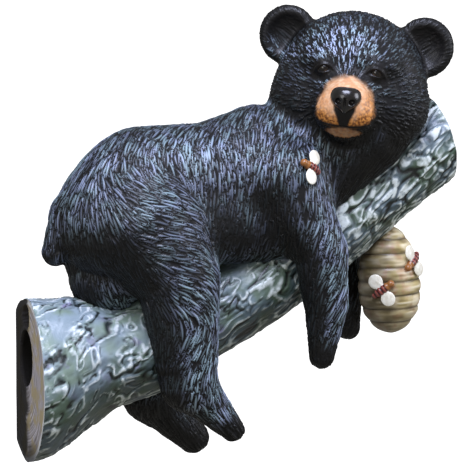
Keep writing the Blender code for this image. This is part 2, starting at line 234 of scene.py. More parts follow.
NOSE_ROOM = ((-5, 19.5, -7), (5, 29.5, 3))
EYE = ((6.6, 15.0, 4.3), 1.9)
EAR_MIDDLE = (17.7, -2.5, 10.6)
EAR_RADII = (7.5, 2.9, 7.8)
EAR_CUP = (5.9, 2.8, 6.2)
FACE_BLEND = 3.5

# The eyeballs, and the eyes' slant and halves along and across it.
EYEBALL_RADIUS = 1.7
EYEBALL_SUNK = 0.12
EYE_SLANT = math.radians(12)
EYE_HALVES = (1.6, 0.78)

# The painted face: the tan oval, the chin below it and the smile between them, by their places up the head.
TAN_UP = -5.5
TAN_HALF_WIDTH = 7.3
TAN_HALF_ABOVE = 8.6
TAN_HALF_BELOW = 4.3
CHIN_UP = -10.7
CHIN_HALVES = (4.4, 1.25)
SMILE_UP = -9.3
SMILE_HALF_WIDTH = 7.6

# How deep the face's lines are cut, how high the lids stand, and how coarse the muzzle's pebbles are.
MOUTH_DEPTH = 0.0013
PHILTRUM_DEPTH = 0.0008
EYE_HOLE_DEPTH = 0.0018
LID_HEIGHT = 0.001
PEBBLE_SIZE = 0.0024
PEBBLE_DEPTH = 0.0005

# The way the fur lies on each flank: a place (along, up) there and the direction (along, up) that it is
# combed in. The reach is how far each of them is felt.
FLANK_COMBING = [
    ((-36, 30), (-0.6, -1.0)),
    ((-43, 20), (-0.45, -1.0)),
    ((-42, 8), (-0.1, -1.0)),
    ((-26, 31), (-0.1, -1.0)),
    ((-5, 26), (0.0, -1.0)),
    ((-33, 20), (0.6, -1.0)),
    ((-26, 16), (1.0, -0.45)),
    ((-19, 8), (1.0, -0.1)),
    ((-15, 0), (1.0, -0.2)),
    ((-12, -8), (1.0, -0.8)),
    ((-37, 10), (0.45, -1.0)),
    ((-39, -2), (0.1, -1.0)),
    ((-26, -5), (0.5, -1.0)),
    ((-13, -20), (-0.5, -1.0)),
    ((-15, -29), (-0.3, -1.0)),
    ((-6, -35), (0.7, -1.0)),
    ((13, 20), (-0.1, -1.0)),
    ((20, 3), (-0.35, -1.0)),
    ((21, -12), (-0.5, -1.0)),
    ((20, -22), (-0.2, -1.0)),
    ((-2, 8), (-0.1, -1.0)),
    ((36, 28), (-0.3, -1.0)),
    ((38, 6), (-0.3, -1.0)),
]
COMBING_REACH = 6.0


def smooth_min(a, b, width):
    """The smaller of two distances, with the corner between them rounded over the width."""
    near = np.clip(width - np.abs(a - b), 0, None) / width
    return np.minimum(a, b) - near * near * width / 4


def smooth_step(low, high, value):
    """Rises from 0 at low to 1 at high."""
    share = np.clip((value - low) / (high - low), 0, 1)
    return share * share * (3 - 2 * share)


def ellipsoid(points, centre, radii):
    """The distance to an ellipsoid, close enough near its surface."""
    scaled = (points - centre) / radii
    length = np.linalg.norm(scaled, axis=-1)
    steep = np.linalg.norm(scaled / radii, axis=-1)
    return length * (length - 1) / np.maximum(steep, 1e-9)


def chain(points, balls):
    """The distance to a row of balls, each (place, radius), with straight sides between them."""
    nearest = np.full(len(points), np.inf)
    for (start, first), (end, last) in zip(balls, balls[1:]):
        start, end = np.array(start, float), np.array(end, float)
        run = end - start
        along = np.clip((points - start) @ run / (run @ run), 0, 1)
        away = np.linalg.norm(points - start - along[:, None] * run, axis=-1)
        nearest = np.minimum(nearest, away - first - along * (last - first))
    return nearest


def head_axes():
    """The head's own across, forward and up directions, as the rows of a matrix."""
    turn = Matrix.Rotation(math.pi + HEAD_TURN, 3, "Z")
    nod = Matrix.Rotation(-HEAD_NOD, 3, "X")
    tilt = Matrix.Rotation(-HEAD_TILT, 3, "Y")
    return np.array((turn @ nod @ tilt).transposed())


def in_head(points):
    """Points of the bear, in hundredths of its length, as (across, forward, up) from the head's middle."""
    return (points - np.array(HEAD_MIDDLE)) @ head_axes().T


def pair(local):
    """Folds one half of a mirrored form onto the other."""
    return local * (np.sign(local[:, :1]) * (1, 0, 0) + (0, 1, 1))


def ear_form(paired):
    """The distance to a round ear, hollowed at its front."""
    place = paired - np.array(EAR_MIDDLE)
    shell = ellipsoid(place, np.zeros(3), np.array(EAR_RADII))
    hollow = ellipsoid(place, np.array((0, EAR_RADII[1], 0)), np.array(EAR_CUP))
    return -smooth_min(-shell, hollow, 1.2)


def head_form(points):
    """The distance to the head, in hundredths of the bear's length."""
    local = in_head(points)
    paired = pair(local)
    form = ellipsoid(local, np.zeros(3), np.array(SKULL_RADII))
    form = smooth_min(form, ellipsoid(paired, *map(np.array, CHEEK)), 2 * FACE_BLEND)
    form = smooth_min(form, ellipsoid(paired, *map(np.array, BROW)), FACE_BLEND)
    form = smooth_min(form, chain(local, MUZZLE), FACE_BLEND)
    form = smooth_min(form, chain(local, CHIN), FACE_BLEND / 2)
    form = smooth_min(form, chain(paired, CHOPS), FACE_BLEND / 2)
    form = smooth_min(form, ellipsoid(paired, np.array(EYE[0]), np.full(3, EYE[1])), 1)
    return smooth_min(form, ear_form(paired), 1.8)


def body_form(points):
    """The distance to the bear without its head, in hundredths of its length."""
    form = chain(points, TRUNK)
    form = smooth_min(form, chain(points, BUTTOCK), TRUNK_BLEND)
    form = smooth_min(form, chain(np.abs(points * (0, 1, 0)) + points * (1, 0, 1), BELLY), LIMB_BLEND)
    form = smooth_min(form, chain(points, NECK), COLLAR_BLEND)
    form = smooth_min(form, chain(points, THROAT), TRUNK_BLEND)
    form = smooth_min(form, chain(points, TAIL), LIMB_BLEND / 2)
    for balls in (NEAR_FORELEG, FAR_FORELEG, NEAR_HIND_LEG, FAR_HIND_LEG):
        form = smooth_min(form, chain(points, balls), LIMB_BLEND)
    for balls in (NEAR_FOOT, FAR_FOOT):
        form = smooth_min(form, chain(points, balls), LIMB_BLEND / 2)
    return form


def bear_form(points):
    """The distance to the whole bear, in hundredths of its length."""
    return smooth_min(body_form(points), head_form(points), LIMB_BLEND / 2)


def share_of_head(points):
    """1 on the head, 0 on the body and a soft change between them."""
    return smooth_step(1.5, -1.5, head_form(points) - body_form(points))


def bend(x):
    """The height of the branch's axis over the mount, and its slope, at each X."""
    x = np.asarray(x, float)
    bent = np.clip(x, 0, BEND_LENGTH)
    gain = (TIP_SLOPE - ROOT_SLOPE) / BEND_LENGTH
    slope = ROOT_SLOPE + gain * bent
    height = FACE_TO_AXIS + ROOT_SLOPE * x + gain * bent * (x - bent / 2)
    swell = ROOT_SWELL * np.exp(-(((x - SWELL_PLACE) / SWELL_LENGTH) ** 2))
    return height + swell, slope


def limb_radius(x):
    """The branch's radius under its bark, flaring towards the cut face."""
    return BRANCH_RADIUS + FLARE * np.exp(-((np.clip(x, 0, None) / FLARE_LENGTH) ** FLARE_POWER))


def belly_place():
    """Where the bear's belly lies on the branch."""
    x = BELLY_ALONG * BRANCH_LENGTH
    height, _ = bend(x)
    return np.array((x, 0, float(height) + float(limb_radius(x))))


def branch_place(points):
    """Where each point lies on the branch: its place along, its angle round and its distance off the bark."""
    along = points[:, 0].copy()
    for _ in range(4):
        height, slope = bend(along)
        length = np.sqrt(1 + slope * slope)
        ahead = ((points[:, 0] - along) + (points[:, 2] - height) * slope) / length
        along += ahead / length
    height, slope = bend(along)
    length = np.sqrt(1 + slope * slope)
    upward = (-(points[:, 0] - along) * slope + (points[:, 2] - height)) / length
    off = np.hypot(upward, points[:, 1]) - limb_radius(along)
    return along, np.arctan2(points[:, 1], upward), off


def polygonise(form, low, high, step):
    """Points and outward quads of the surface where the form is nothing, a point in each cell it crosses."""
    axes = [np.arange(start, end + step, step) for start, end in zip(low, high)]
    grid = np.stack(np.meshgrid(*axes, indexing="ij"), axis=-1)
    values = form(grid.reshape(-1, 3)).reshape(grid.shape[:3])
    cells = np.array(values.shape) - 1
    total = np.zeros((*cells, 3))
    count = np.zeros(cells)
    crossings = []
    for axis in range(3):
        before = np.take(values, range(values.shape[axis] - 1), axis)
        after = np.take(values, range(1, values.shape[axis]), axis)
        place = np.argwhere((before < 0) != (after < 0))
        near, far = before[tuple(place.T)], after[tuple(place.T)]
        point = place.astype(float)
        point[:, axis] += near / (near - far)
        others = [other for other in range(3) if other != axis]
        inner = (place[:, others] > 0).all(axis=1) & (place[:, others] < cells[others]).all(axis=1)
        place, point, near = place[inner], point[inner], near[inner]
        corners = []
        for back in ((0, 0), (1, 0), (1, 1), (0, 1)):
            cell = place.copy()
            cell[:, others] -= back
            np.add.at(total, tuple(cell.T), point)
            np.add.at(count, tuple(cell.T), 1)
            corners.append(np.ravel_multi_index(tuple(cell.T), tuple(cells)))
        quads = np.stack(corners, axis=1)
        flip = (near < 0) != (axis == 1)
        quads[~flip] = quads[~flip][:, ::-1]
        crossings.append(quads)
    used = np.flatnonzero(count)
    points = total.reshape(-1, 3)[used] / count.reshape(-1)[used, None]
    renumber = np.full(count.size, -1)
    renumber[used] = np.arange(len(used))
    return points * step + np.array(low, float), renumber[np.concatenate(crossings)]


def face_edges(quads):
    """Each quad's four edges, as rows of two points with the lower number first."""
    edges = np.stack([quads, np.roll(quads, -1, axis=1)], axis=2).reshape(-1, 2)
    return np.sort(edges, axis=1)


def relax(points, quads, rounds):
    """Evens out the spacing of a surface's points."""
    edges = np.unique(face_edges(quads), axis=0)
    count = np.bincount(edges.ravel(), minlength=len(points))[:, None]
    for _ in range(rounds):
        total = np.zeros_like(points)
        for axis in range(3):
            total[:, axis] += np.bincount(edges[:, 0], points[edges[:, 1], axis], len(points))
            total[:, axis] += np.bincount(edges[:, 1], points[edges[:, 0], axis], len(points))
        points = (points + total / count) / 2
    return points


def subdivide(points, quads):
    """Parts each quad into four, with a point in the middle of each edge and face."""
    edges, place = np.unique(face_edges(quads), axis=0, return_inverse=True)
    on_edge = place.reshape(-1, 4) + len(points)
    in_face = np.arange(len(quads)) + len(points) + len(edges)
    finer = np.concatenate([points, points[edges].mean(axis=1), points[quads].mean(axis=1)])
    parts = []
    for corner in range(4):
        part = [quads[:, corner], on_edge[:, corner], in_face, on_edge[:, corner - 1]]
        parts.append(np.stack(part, axis=1))
    return finer, np.concatenate(parts)


def settle(points, quads, rounds):
    """Moves the points of a bear surface onto the bear's form."""
    for _ in range(rounds):
        points = points - face_normals(points, quads) * bear_form(points)[:, None]
    return points


def ring_quads(rows, sides):
    """The quads between rows of points that each close in a ring."""
    index = np.arange(rows * sides).reshape(rows, sides)
    following = np.roll(index, -1, axis=1)
    return np.stack([index[:-1], index[1:], following[1:], following[:-1]], axis=-1).reshape(-1, 4)


def keep_faces(points, quads, kept):
    """The kept quads alone, with only the points that they use, and those points' old numbers."""
    used, place = np.unique(quads[kept], return_inverse=True)
    return points[used], place.reshape(-1, 4), used


def linear(code):
    """An sRGB hex colour as linear red, green, blue and alpha."""
    channels = [int(code[i:i + 2], 16) / 255 for i in (1, 3, 5)]
    return [c / 12.92 if c <= 0.04045 else ((c + 0.055) / 1.055) ** 2.4 for c in channels] + [1]


def add_node(tree, kind, settings=None, links=None):
    """Adds a node with its settings, its plain values by socket and its links by socket."""
    made = tree.nodes.new(kind)
    for key, value in (settings or {}).items():
        if hasattr(made, key):
            setattr(made, key, value)
        else:
            made.inputs[key].default_value = value
    for key, source in (links or {}).items():
        tree.links.new(source, made.inputs[key])
    return made


def carved(tree, layer):
    """The value of one of the mesh's own layers, in a material."""
    return add_node(tree, "ShaderNodeAttribute", {"attribute_name": layer, "name": layer}).outputs["Fac"]


def mix_colour(tree, share, first, second):
    """Blends two colours, each a hex code or a socket."""
    made = add_node(tree, "ShaderNodeMix", {"data_type": "RGBA"})
    for socket, value in ((made.inputs[0], share), (made.inputs[6], first), (made.inputs[7], second)):
        if isinstance(value, str):
            socket.default_value = linear(value)
        elif isinstance(value, (int, float)):
            socket.default_value = value
        else:
            tree.links.new(value, socket)
    return made.outputs[2]


def ramp(tree, source, low, high):
    """Spreads a range of a value over 0 to 1."""
    made = add_node(tree, "ShaderNodeMapRange", {"From Min": low, "From Max": high}, {"Value": source})
    return made.outputs["Result"]


def times(tree, first, second):
    """The product of two values."""
    made = add_node(tree, "ShaderNodeMath", {"operation": "MULTIPLY"}, {0: first})
    if isinstance(second, (int, float)):
        made.inputs[1].default_value = second
    else:
        tree.links.new(second, made.inputs[1])
    return made.outputs[0]


def speckle(tree, size_mm, detail=2.0):
    """Soft noise whose blotches are this many millimetres across."""
    place = add_node(tree, "ShaderNodeTexCoord").outputs["Object"]
    settings = {"Scale": 1000 / size_mm, "Detail": detail}
    return add_node(tree, "ShaderNodeTexNoise", settings, {"Vector": place}).outputs["Fac"]


def coat(name, roughness, ior=1.5, clear=0.0, clear_roughness=0.1):
    """A material with its shader, ready for a colour and a bump."""
    made = bpy.data.materials.new(name)
    made.use_nodes = True
    shader = made.node_tree.nodes["Principled BSDF"]
    shader.inputs["Roughness"].default_value = roughness
    shader.inputs["IOR"].default_value = ior
    shader.inputs["Coat Weight"].default_value = clear
    shader.inputs["Coat Roughness"].default_value = clear_roughness
    return made, made.node_tree, shader


def roughen(tree, shader, height, depth_mm):
    """Gives the shader a fine relief of this depth."""
    settings = {"Distance": depth_mm / 1000, "Strength": 1.0}
    bump = add_node(tree, "ShaderNodeBump", settings, {"Height": height})
    tree.links.new(bump.outputs["Normal"], shader.inputs["Normal"])


def painted_fur():
    """Cast resin fur in black gloss enamel, blue-grey dry brushing and painted highlight on its ridges only.

    The muzzle is tan over it, and the ears' insides are a flatter black. Creases stay duller than ridges.
    """
    made, tree, shader = coat("gloss_black_fur_enamel", 0.36, ior=1.38, clear=0.1, clear_roughness=0.2)
    ridge = carved(tree, "ridge")
    # The brushed layer is dry brushing together with painted highlight, strongest where the fur faces up or
    # the lamps.
    brushed = carved(tree, "brushed")
    ear = carved(tree, "ear")
    muzzle = carved(tree, "muzzle")
    patches = ramp(tree, speckle(tree, 30), 0.35, 0.65)
    black = mix_colour(tree, patches, "#050505", "#0C0B08")
    brush_and_highlight_tint = mix_colour(tree, ramp(tree, speckle(tree, 20), 0.42, 0.58), "#A6B3CF", "#9FB8C2")
    caught = times(tree, ramp(tree, ridge, 0.34, 0.84), brushed)
    fur = mix_colour(tree, times(tree, caught, 0.9), black, brush_and_highlight_tint)
    inside_ear = mix_colour(tree, ramp(tree, ridge, 0.2, 0.9), "#040303", "#120D0B")
    inside_ear = mix_colour(tree, times(tree, caught, 0.8), inside_ear, brush_and_highlight_tint)
    colour = mix_colour(tree, ear, fur, inside_ear)
    tan_top = mix_colour(tree, ramp(tree, speckle(tree, 5), 0.4, 0.62), "#C9946A", "#DFB68F")
    tan_low = mix_colour(tree, ramp(tree, speckle(tree, 2.4), 0.4, 0.56), "#74431F", "#C9863F")
    tan = mix_colour(tree, carved(tree, "muzzle_low"), tan_top, tan_low)
    colour = mix_colour(tree, muzzle, colour, tan)
    colour = mix_colour(tree, carved(tree, "dark"), colour, "#080504")
    tree.links.new(colour, shader.inputs["Base Color"])
    creases = {"From Min": 0.1, "From Max": 0.6, "To Min": 0.8, "To Max": 0.32}
    dull = add_node(tree, "ShaderNodeMapRange", creases, {"Value": ridge}).outputs["Result"]
    plain = add_node(tree, "ShaderNodeMath", {"operation": "MAXIMUM"}, {0: ear, 1: muzzle}).outputs[0]
    worn = add_node(tree, "ShaderNodeMix", {"B": 0.5}, {"Factor": plain, "A": dull}).outputs["Result"]
    tree.links.new(worn, shader.inputs["Roughness"])
    roughen(tree, shader, speckle(tree, 1.2, 1.0), 0.04)
    return made


def nose_enamel():
    """Wet-look black enamel: a sharp highlight over a deep black."""
    made, tree, shader = coat("wet_black_nose_enamel", 0.26, clear=0.5, clear_roughness=0.16)
    colour = mix_colour(tree, ramp(tree, speckle(tree, 3), 0.4, 0.6), "#0A0909", "#15110F")
    tree.links.new(colour, shader.inputs["Base Color"])
    roughen(tree, shader, speckle(tree, 0.9, 1.0), 0.05)
    return made


def eye_enamel():
    """Dark brown gloss enamel on the eyeballs, nearly black, with one clean highlight."""
    made, tree, shader = coat("dark_brown_eye_enamel", 0.08, clear=0.3, clear_roughness=0.03)
    colour = mix_colour(tree, ramp(tree, speckle(tree, 2), 0.35, 0.65), "#070505", "#1A110A")
    tree.links.new(colour, shader.inputs["Base Color"])
    return made


def painted_bark():
    """Cast resin bark: dark green wash in the creases, grey-green plates, silver brushed on their edges.

    The creases' dark is painted shade as well as wash, and plates, creases and silver take lit tones where
    the bark faces up and shaded tones where it faces down, as painted light and shade.
    """
    made, tree, shader = coat("bark_resin_wash_and_painted_light", 0.38, clear=0.15, clear_roughness=0.25)
    height = carved(tree, "height")
    # Painted light and shade: the light layer chooses lit tones where the bark faces up, shaded ones below.
    light = carved(tree, "light")
    moss = ramp(tree, speckle(tree, 26), 0.42, 0.62)
    shaded = mix_colour(tree, moss, "#45545A", "#3E4F3E")
    lit = mix_colour(tree, moss, "#8A9BA4", "#7F9284")
    lit = mix_colour(tree, ramp(tree, speckle(tree, 17), 0.58, 0.72), lit, "#8F8CAA")
    plate = mix_colour(tree, light, shaded, lit)
    # Creases: dark green wash with painted shade, darker still where the bark faces down.
    deep = mix_colour(tree, light, "#0B0F09", "#1A2424")
    colour = mix_colour(tree, ramp(tree, height, 0.14, 0.48), deep, plate)
    silver = mix_colour(tree, light, "#D6DFD9", "#E9F1F3")
    edge = times(tree, ramp(tree, height, 0.62, 0.88), ramp(tree, speckle(tree, 5, 3.0), 0.3, 0.5))
    colour = mix_colour(tree, times(tree, edge, 0.85), colour, silver)
    tree.links.new(colour, shader.inputs["Base Color"])
    roughen(tree, shader, speckle(tree, 1.6, 3.0), 0.2)
    return made


def painted_cut_wood():
    """Matt painted wood at the branch's ends: lilac-grey and tan streaks, dark painted shade in the hollow.
    """
    made, tree, shader = coat("matt_cut_wood_paint", 0.85, ior=1.35)
    ring = carved(tree, "ring")
    streaks = {"noise_dimensions": "1D", "Scale": 1000 / STREAK_MM, "Detail": 4.0}
    rings = add_node(tree, "ShaderNodeTexNoise", streaks, {"W": ring}).outputs["Fac"]
    wood = mix_colour(tree, ramp(tree, rings, 0.36, 0.64), "#8C8584", "#DDD9E4")
    wood = mix_colour(tree, ramp(tree, speckle(tree, 18), 0.46, 0.6), wood, "#BCAE8E")
    wood = mix_colour(tree, ramp(tree, ring, 0.0052, 0.0034), wood, "#EDF0F4")
    # Painted shade, near-black: the hollow, the pocket, and the thick end's far side and bottom.
    colour = mix_colour(tree, carved(tree, "deep"), wood, "#0D0A07")
    tree.links.new(colour, shader.inputs["Base Color"])
    roughen(tree, shader, speckle(tree, 1.3, 3.0), 0.15)
    return made


def painted_hive():
    """Cast resin hive: cream paint wiped with an olive-brown wash that stays in the grooves."""
    made, tree, shader = coat("straw_resin_wash_and_painted_shade", 0.4, clear=0.2, clear_roughness=0.25)
    height = carved(tree, "height")
    strand = carved(tree, "strand")
    straw = mix_colour(tree, ramp(tree, speckle(tree, 20), 0.4, 0.6), "#B8A670", "#E4D4AC")
    straw = mix_colour(tree, times(tree, ramp(tree, speckle(tree, 11), 0.5, 0.66), 0.7), straw, "#BE8D70")
    straw = mix_colour(tree, times(tree, ramp(tree, strand, 0.5, 0.15), 0.7), straw, "#6A5A30")
    colour = mix_colour(tree, ramp(tree, height, 0.1, 0.75), "#3A2D12", straw)
    pale = times(tree, ramp(tree, height, 0.8, 1.0), ramp(tree, strand, 0.5, 0.75))
    colour = mix_colour(tree, times(tree, pale, 0.8), colour, "#F0E6C6")
    # Painted shade: darker on the hive's side towards the bear and towards its bottom.
    colour = mix_colour(tree, times(tree, carved(tree, "shade"), 0.7), colour, "#352A16")
    tree.links.new(colour, shader.inputs["Base Color"])
    roughen(tree, shader, speckle(tree, 1.5, 2.0), 0.08)
    return made


def painted_bee():
    """Bees in gloss enamel: tan head, maroon and brown stripes, cream wings."""
    made, tree, shader = coat("bee_enamel", 0.28, clear=0.3, clear_roughness=0.12)
    body = mix_colour(tree, carved(tree, "stripe"), "#8F4A3E", "#3E0C13")
    body = mix_colour(tree, carved(tree, "head"), body, "#96602F")
    wing = mix_colour(tree, ramp(tree, speckle(tree, 4), 0.4, 0.65), "#F2EEDC", "#E2DCC6")
    colour = mix_colour(tree, carved(tree, "wing"), body, wing)
    tree.links.new(colour, shader.inputs["Base Color"])
    roughen(tree, shader, speckle(tree, 1.0, 1.0), 0.04)
    return made


def piece_mesh(name, points, quads, finish, layers=None, normals=None):
    """A piece from points and quads, shaded smooth, with its finish and its layers of values."""
    mesh = bpy.data.meshes.new(name)
    mesh.vertices.add(len(points))
    mesh.vertices.foreach_set("co", np.asarray(points, np.float32).ravel())
    mesh.loops.add(4 * len(quads))
    mesh.loops.foreach_set("vertex_index", np.asarray(quads, np.int32).ravel())
    mesh.polygons.add(len(quads))
    mesh.polygons.foreach_set("loop_start", np.arange(0, 4 * len(quads), 4, dtype=np.int32))
    mesh.update(calc_edges=True)
    mesh.validate()
    mesh.shade_smooth()
    if normals is not None:
        mesh.normals_split_custom_set_from_vertices(np.asarray(normals, np.float32))
    for layer, values in (layers or {}).items():
        made = mesh.attributes.new(layer, "FLOAT", "POINT")
        made.data.foreach_set("value", np.asarray(values, np.float32))
    mesh.materials.append(finish)
    piece = bpy.data.objects.new(name, mesh)
    bpy.context.scene.collection.objects.link(piece)
    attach(piece, "root")
    return piece


def face_normals(points, quads):
    """Each point's normal, from the faces round it."""
    corners = points[quads]
    across = np.cross(corners[:, 2] - corners[:, 0], corners[:, 3] - corners[:, 1])
    total = np.zeros_like(points)
    for corner in range(4):
        for axis in range(3):
            total[:, axis] += np.bincount(quads[:, corner], across[:, axis], len(points))
    return total / np.maximum(np.linalg.norm(total, axis=1, keepdims=True), 1e-12)


def smooth_noise(points, size, seed):
    """Soft noise from -1 to 1 with blotches of this size, from a lattice of random values that repeats."""
    table = np.random.default_rng(seed).uniform(-1, 1, (LATTICE, LATTICE, LATTICE))
    place = points / size
    base = np.floor(place).astype(int)
    part = place - base
    part = part * part * (3 - 2 * part)
    total = np.zeros(len(points))
    for corner in range(8):
        step = np.array([corner & 1, corner >> 1 & 1, corner >> 2 & 1])
        weight = np.prod(np.where(step, part, 1 - part), axis=1)
        x, y, z = ((base + step) % LATTICE).T
        total += weight * table[x, y, z]
    return total


def comb(points, normals):
    """The way the fur lies at each point of the bear, along its surface, in hundredths of its length."""
    total = np.zeros_like(points)
    sums = np.full(len(points), 1e-9)
    for place, direction in FLANK_COMBING:
        away = np.hypot(points[:, 0] - place[0], points[:, 2] - place[1])
        weight = np.exp(-((away / COMBING_REACH) ** 2)) + 1e-3 / (1 + away * away)
        way = np.array((direction[0], 0, direction[1]))
        total += weight[:, None] * way / np.linalg.norm(way)
        sums += weight
    lie = total / sums[:, None]
    spine = smooth_step(0.55, 0.95, normals[:, 2])
    lie += spine[:, None] * np.stack([-np.ones(len(points)), np.sign(points[:, 1]) * 1.2, spine * 0], axis=1)
    away = (in_head(points) - np.array(NOSE_TIP)) @ head_axes()
    on_head = share_of_head(points)[:, None]
    face = away / np.linalg.norm(away, axis=1, keepdims=True)
    lie = lie * (1 - on_head) + face * on_head
    lie -= normals * (lie * normals).sum(axis=1, keepdims=True)
    return lie / np.maximum(np.linalg.norm(lie, axis=1, keepdims=True), 1e-9)


def cell_codes(cells):
    """One number for each cell of a wide lattice, from its three whole numbers, which may be below zero."""
    shifted = cells + 512
    return (shifted[:, 0] << 20) + (shifted[:, 1] << 10) + shifted[:, 2]


def lay_strokes(points, normals, lies, starts, scale):
    """The height, 0 to 1, of fur strokes laid over each other, each whole where it is on top."""
    length, width = FUR_LENGTH / 2, FUR_WIDTH / 2
    cell = length * 1.05
    codes = cell_codes(np.floor(points / cell).astype(np.int64))
    order = np.argsort(codes, kind="stable")
    codes = codes[order]
    count = len(starts)
    turn = chance.normal(0, 0.08, count)
    curl = chance.normal(0, 0.12, count)
    size = chance.uniform(0.65, 1.15, count) * scale[starts]
    lift = chance.uniform(0.5, 1.0, count)
    centre, normal, lie = points[starts], normals[starts], lies[starts]
    side = np.cross(normal, lie)
    lie, side = (
        lie * np.cos(turn)[:, None] + side * np.sin(turn)[:, None],
        side * np.cos(turn)[:, None] - lie * np.sin(turn)[:, None],
    )
    home = np.floor(centre / cell).astype(np.int64)
    height = np.zeros(len(points))
    top = np.full(len(points), -1)
    for offset in np.ndindex(3, 3, 3):
        code = cell_codes(home + np.array(offset) - 1)
        first = np.searchsorted(codes, code, "left")
        last = np.searchsorted(codes, code, "right")
        many = last - first
        stroke = np.repeat(np.arange(count), many)
        rank = np.arange(many.sum()) - np.repeat(np.cumsum(many) - many, many)
        point = order[np.repeat(first, many) + rank]
        gap = points[point] - centre[stroke]
        u = (gap * lie[stroke]).sum(axis=1) / (length * size[stroke])
        v = (gap * side[stroke]).sum(axis=1) / (width * np.sqrt(size[stroke]))
        w = (gap * normal[stroke]).sum(axis=1) / length
        v = v - curl[stroke] * u * u * length / width
        narrow = 1.0 - 0.6 * np.clip(u, -1, 1) ** 2
        inside = (np.abs(u) < 1) & (np.abs(v) < narrow) & (np.abs(w) < 0.7)
        u, v, narrow, stroke, point = u[inside], v[inside], narrow[inside], stroke[inside], point[inside]
        np.maximum.at(top, point, stroke)
        won = top[point] == stroke
        u, v, narrow, stroke, point = u[won], v[won], narrow[won], stroke[won], point[won]
        height[point] = lift[stroke] * (1 - (v / narrow) ** 2) * (1 - u ** 2) ** 0.4
    return height


def eye_frame(paired):
    """Each head point's place across and up from the middle of its eye, along its slant, in eye halves."""
    across = paired[:, 0] - EYE[0][0]
    upward = paired[:, 2] - EYE[0][2]
    along = across * math.cos(EYE_SLANT) - upward * math.sin(EYE_SLANT)
    above = across * math.sin(EYE_SLANT) + upward * math.cos(EYE_SLANT)
    return along / EYE_HALVES[0], (above + 0.12 * along ** 2) / EYE_HALVES[1]


def muzzle_marks(points, local):
    """Masks of the tan muzzle and chin, and of the mouth, the lips and the groove under the nose."""
    x, y, z = local.T
    front = smooth_step(8.5, 11.5, y)
    ragged = smooth_noise(points, 1.3, 3)
    half = np.where(z > TAN_UP, TAN_HALF_ABOVE, TAN_HALF_BELOW)
    oval = np.hypot(x / TAN_HALF_WIDTH, (z - TAN_UP) / half) + 0.045 * ragged
    muzzle = smooth_step(1.08, 0.9, oval) * front
    from_chin = np.hypot(x / CHIN_HALVES[0], (z - CHIN_UP) / CHIN_HALVES[1])
    chin = smooth_step(1.15, 0.8, from_chin) * smooth_step(14, 16, y)
    from_smile = np.abs(z - (SMILE_UP + 0.02 * x * x))
    mouth = smooth_step(0.5, 0.15, from_smile) * smooth_step(SMILE_HALF_WIDTH, 6.4, np.abs(x))
    mouth *= smooth_step(12, 14, y)
    lip = smooth_step(1.3, 0.3, from_smile) * smooth_step(SMILE_HALF_WIDTH, 5.0, np.abs(x))
    lip *= smooth_step(13, 15, y)
    spread = 0.9 + 1.5 * np.clip((z - SMILE_UP) / 4.3, 0, 1) ** 1.5
    philtrum = smooth_step(spread + 0.6, spread, np.abs(x)) * smooth_step(-3.0, -4.0, z)
    philtrum *= smooth_step(SMILE_UP - 0.4, SMILE_UP, z) * smooth_step(16, 18, y)
    side = np.where(x > 0, 0.4, 0.75) * smooth_step(2.6, 6.0, np.abs(x)) * smooth_step(2, -3, z)
    low = smooth_step(-3.5, -8.5, z + 0.5 * ragged) + side
    return {
        "muzzle": np.maximum(muzzle, chin),
        "chin": chin,
        "muzzle_low": np.clip(low * (1 - 0.6 * chin), 0, 1),
        "mouth": mouth,
        "lip": lip,
        "philtrum": philtrum,
    }


def eye_marks(paired):
    """Masks of the eyes' holes, lids and dark sockets, and of the pale line of fur under each."""
    along, above = eye_frame(paired)
    eye = np.hypot(along, above)
    at_eye = smooth_step(10, 12, paired[:, 1])
    return {
        "eye_hole": smooth_step(1.05, 0.8, eye) * at_eye,
        "eye_lid": np.exp(-(((eye - 1.5) / 0.35) ** 2)) * at_eye * smooth_step(-0.6, 0.5, above),
        "eye_line": np.exp(-(((above + 3.6) / 0.9) ** 2 + (along / 2.2) ** 2)) * at_eye,
        "eye_socket": smooth_step(1.9, 1.2, np.hypot(along / 1.5, above / 2.1)) * at_eye,
    }


def ear_marks(paired):
    """Masks of the ears' insides and of their rims."""
    place = paired - np.array(EAR_MIDDLE)
    cup = np.hypot(place[:, 0] / (EAR_CUP[0] * 1.1), place[:, 2] / (EAR_CUP[2] * 1.1))
    outward = np.hypot(paired[:, 0], paired[:, 2])
    return {
        "ear": smooth_step(1.05, 0.8, cup) * smooth_step(-0.2, 0.6, place[:, 1]),
        "ear_rim": smooth_step(2.0, 0.2, ear_form(paired)) * smooth_step(11, 13.5, outward),
    }


def face_marks(points):
    """The painted and carved parts of the face: a dictionary of masks, 0 to 1."""
    local = in_head(points)
    paired = pair(local)
    return {**muzzle_marks(points, local), **eye_marks(paired), **ear_marks(paired)}


def body_brushing_and_highlight(points, normals, facing, blotch):
    """Dry brushing and painted highlight on the body.

    Most on what faces up or the light, least on the belly and the paws.
    """
    ends = [balls[-1] for balls in (NEAR_FOOT, FAR_FOOT, NEAR_FORELEG, FAR_FORELEG)]
    from_paw = np.min([np.linalg.norm(points - place, axis=1) - radius for place, radius in ends], axis=0)
    x, y, z = points.T
    hanging = smooth_step(8, -6, z)
    # Painted highlight: the near hanging limbs' sides that face right, towards the right-hand softbox.
    sideways = np.array((math.cos(VIEW_AZIMUTH), math.sin(VIEW_AZIMUTH), 0))
    foreleg = smooth_step(8, 12, x) * smooth_step(16, 9, z)
    turned = smooth_step(-0.4, 0.35, normals @ sideways) * np.maximum(hanging, foreleg)
    turned = turned * smooth_step(4, -4, y)
    belly = np.exp(-(((x + 4) / 9) ** 2 + ((z - 10) / 9) ** 2))
    # Painted highlight: a band along the upper flank, where the overhead softbox shines.
    flank = np.exp(-(((x + 12) / 16) ** 2 + ((z - 27) / 5) ** 2))
    body = (facing * (0.45 + 0.4 * blotch) + 0.35 * flank) * (1 - 0.45 * hanging) * (1 - 0.8 * belly)
    return np.maximum(body, turned * (0.7 + 0.3 * blotch)) * smooth_step(0, 5, from_paw)


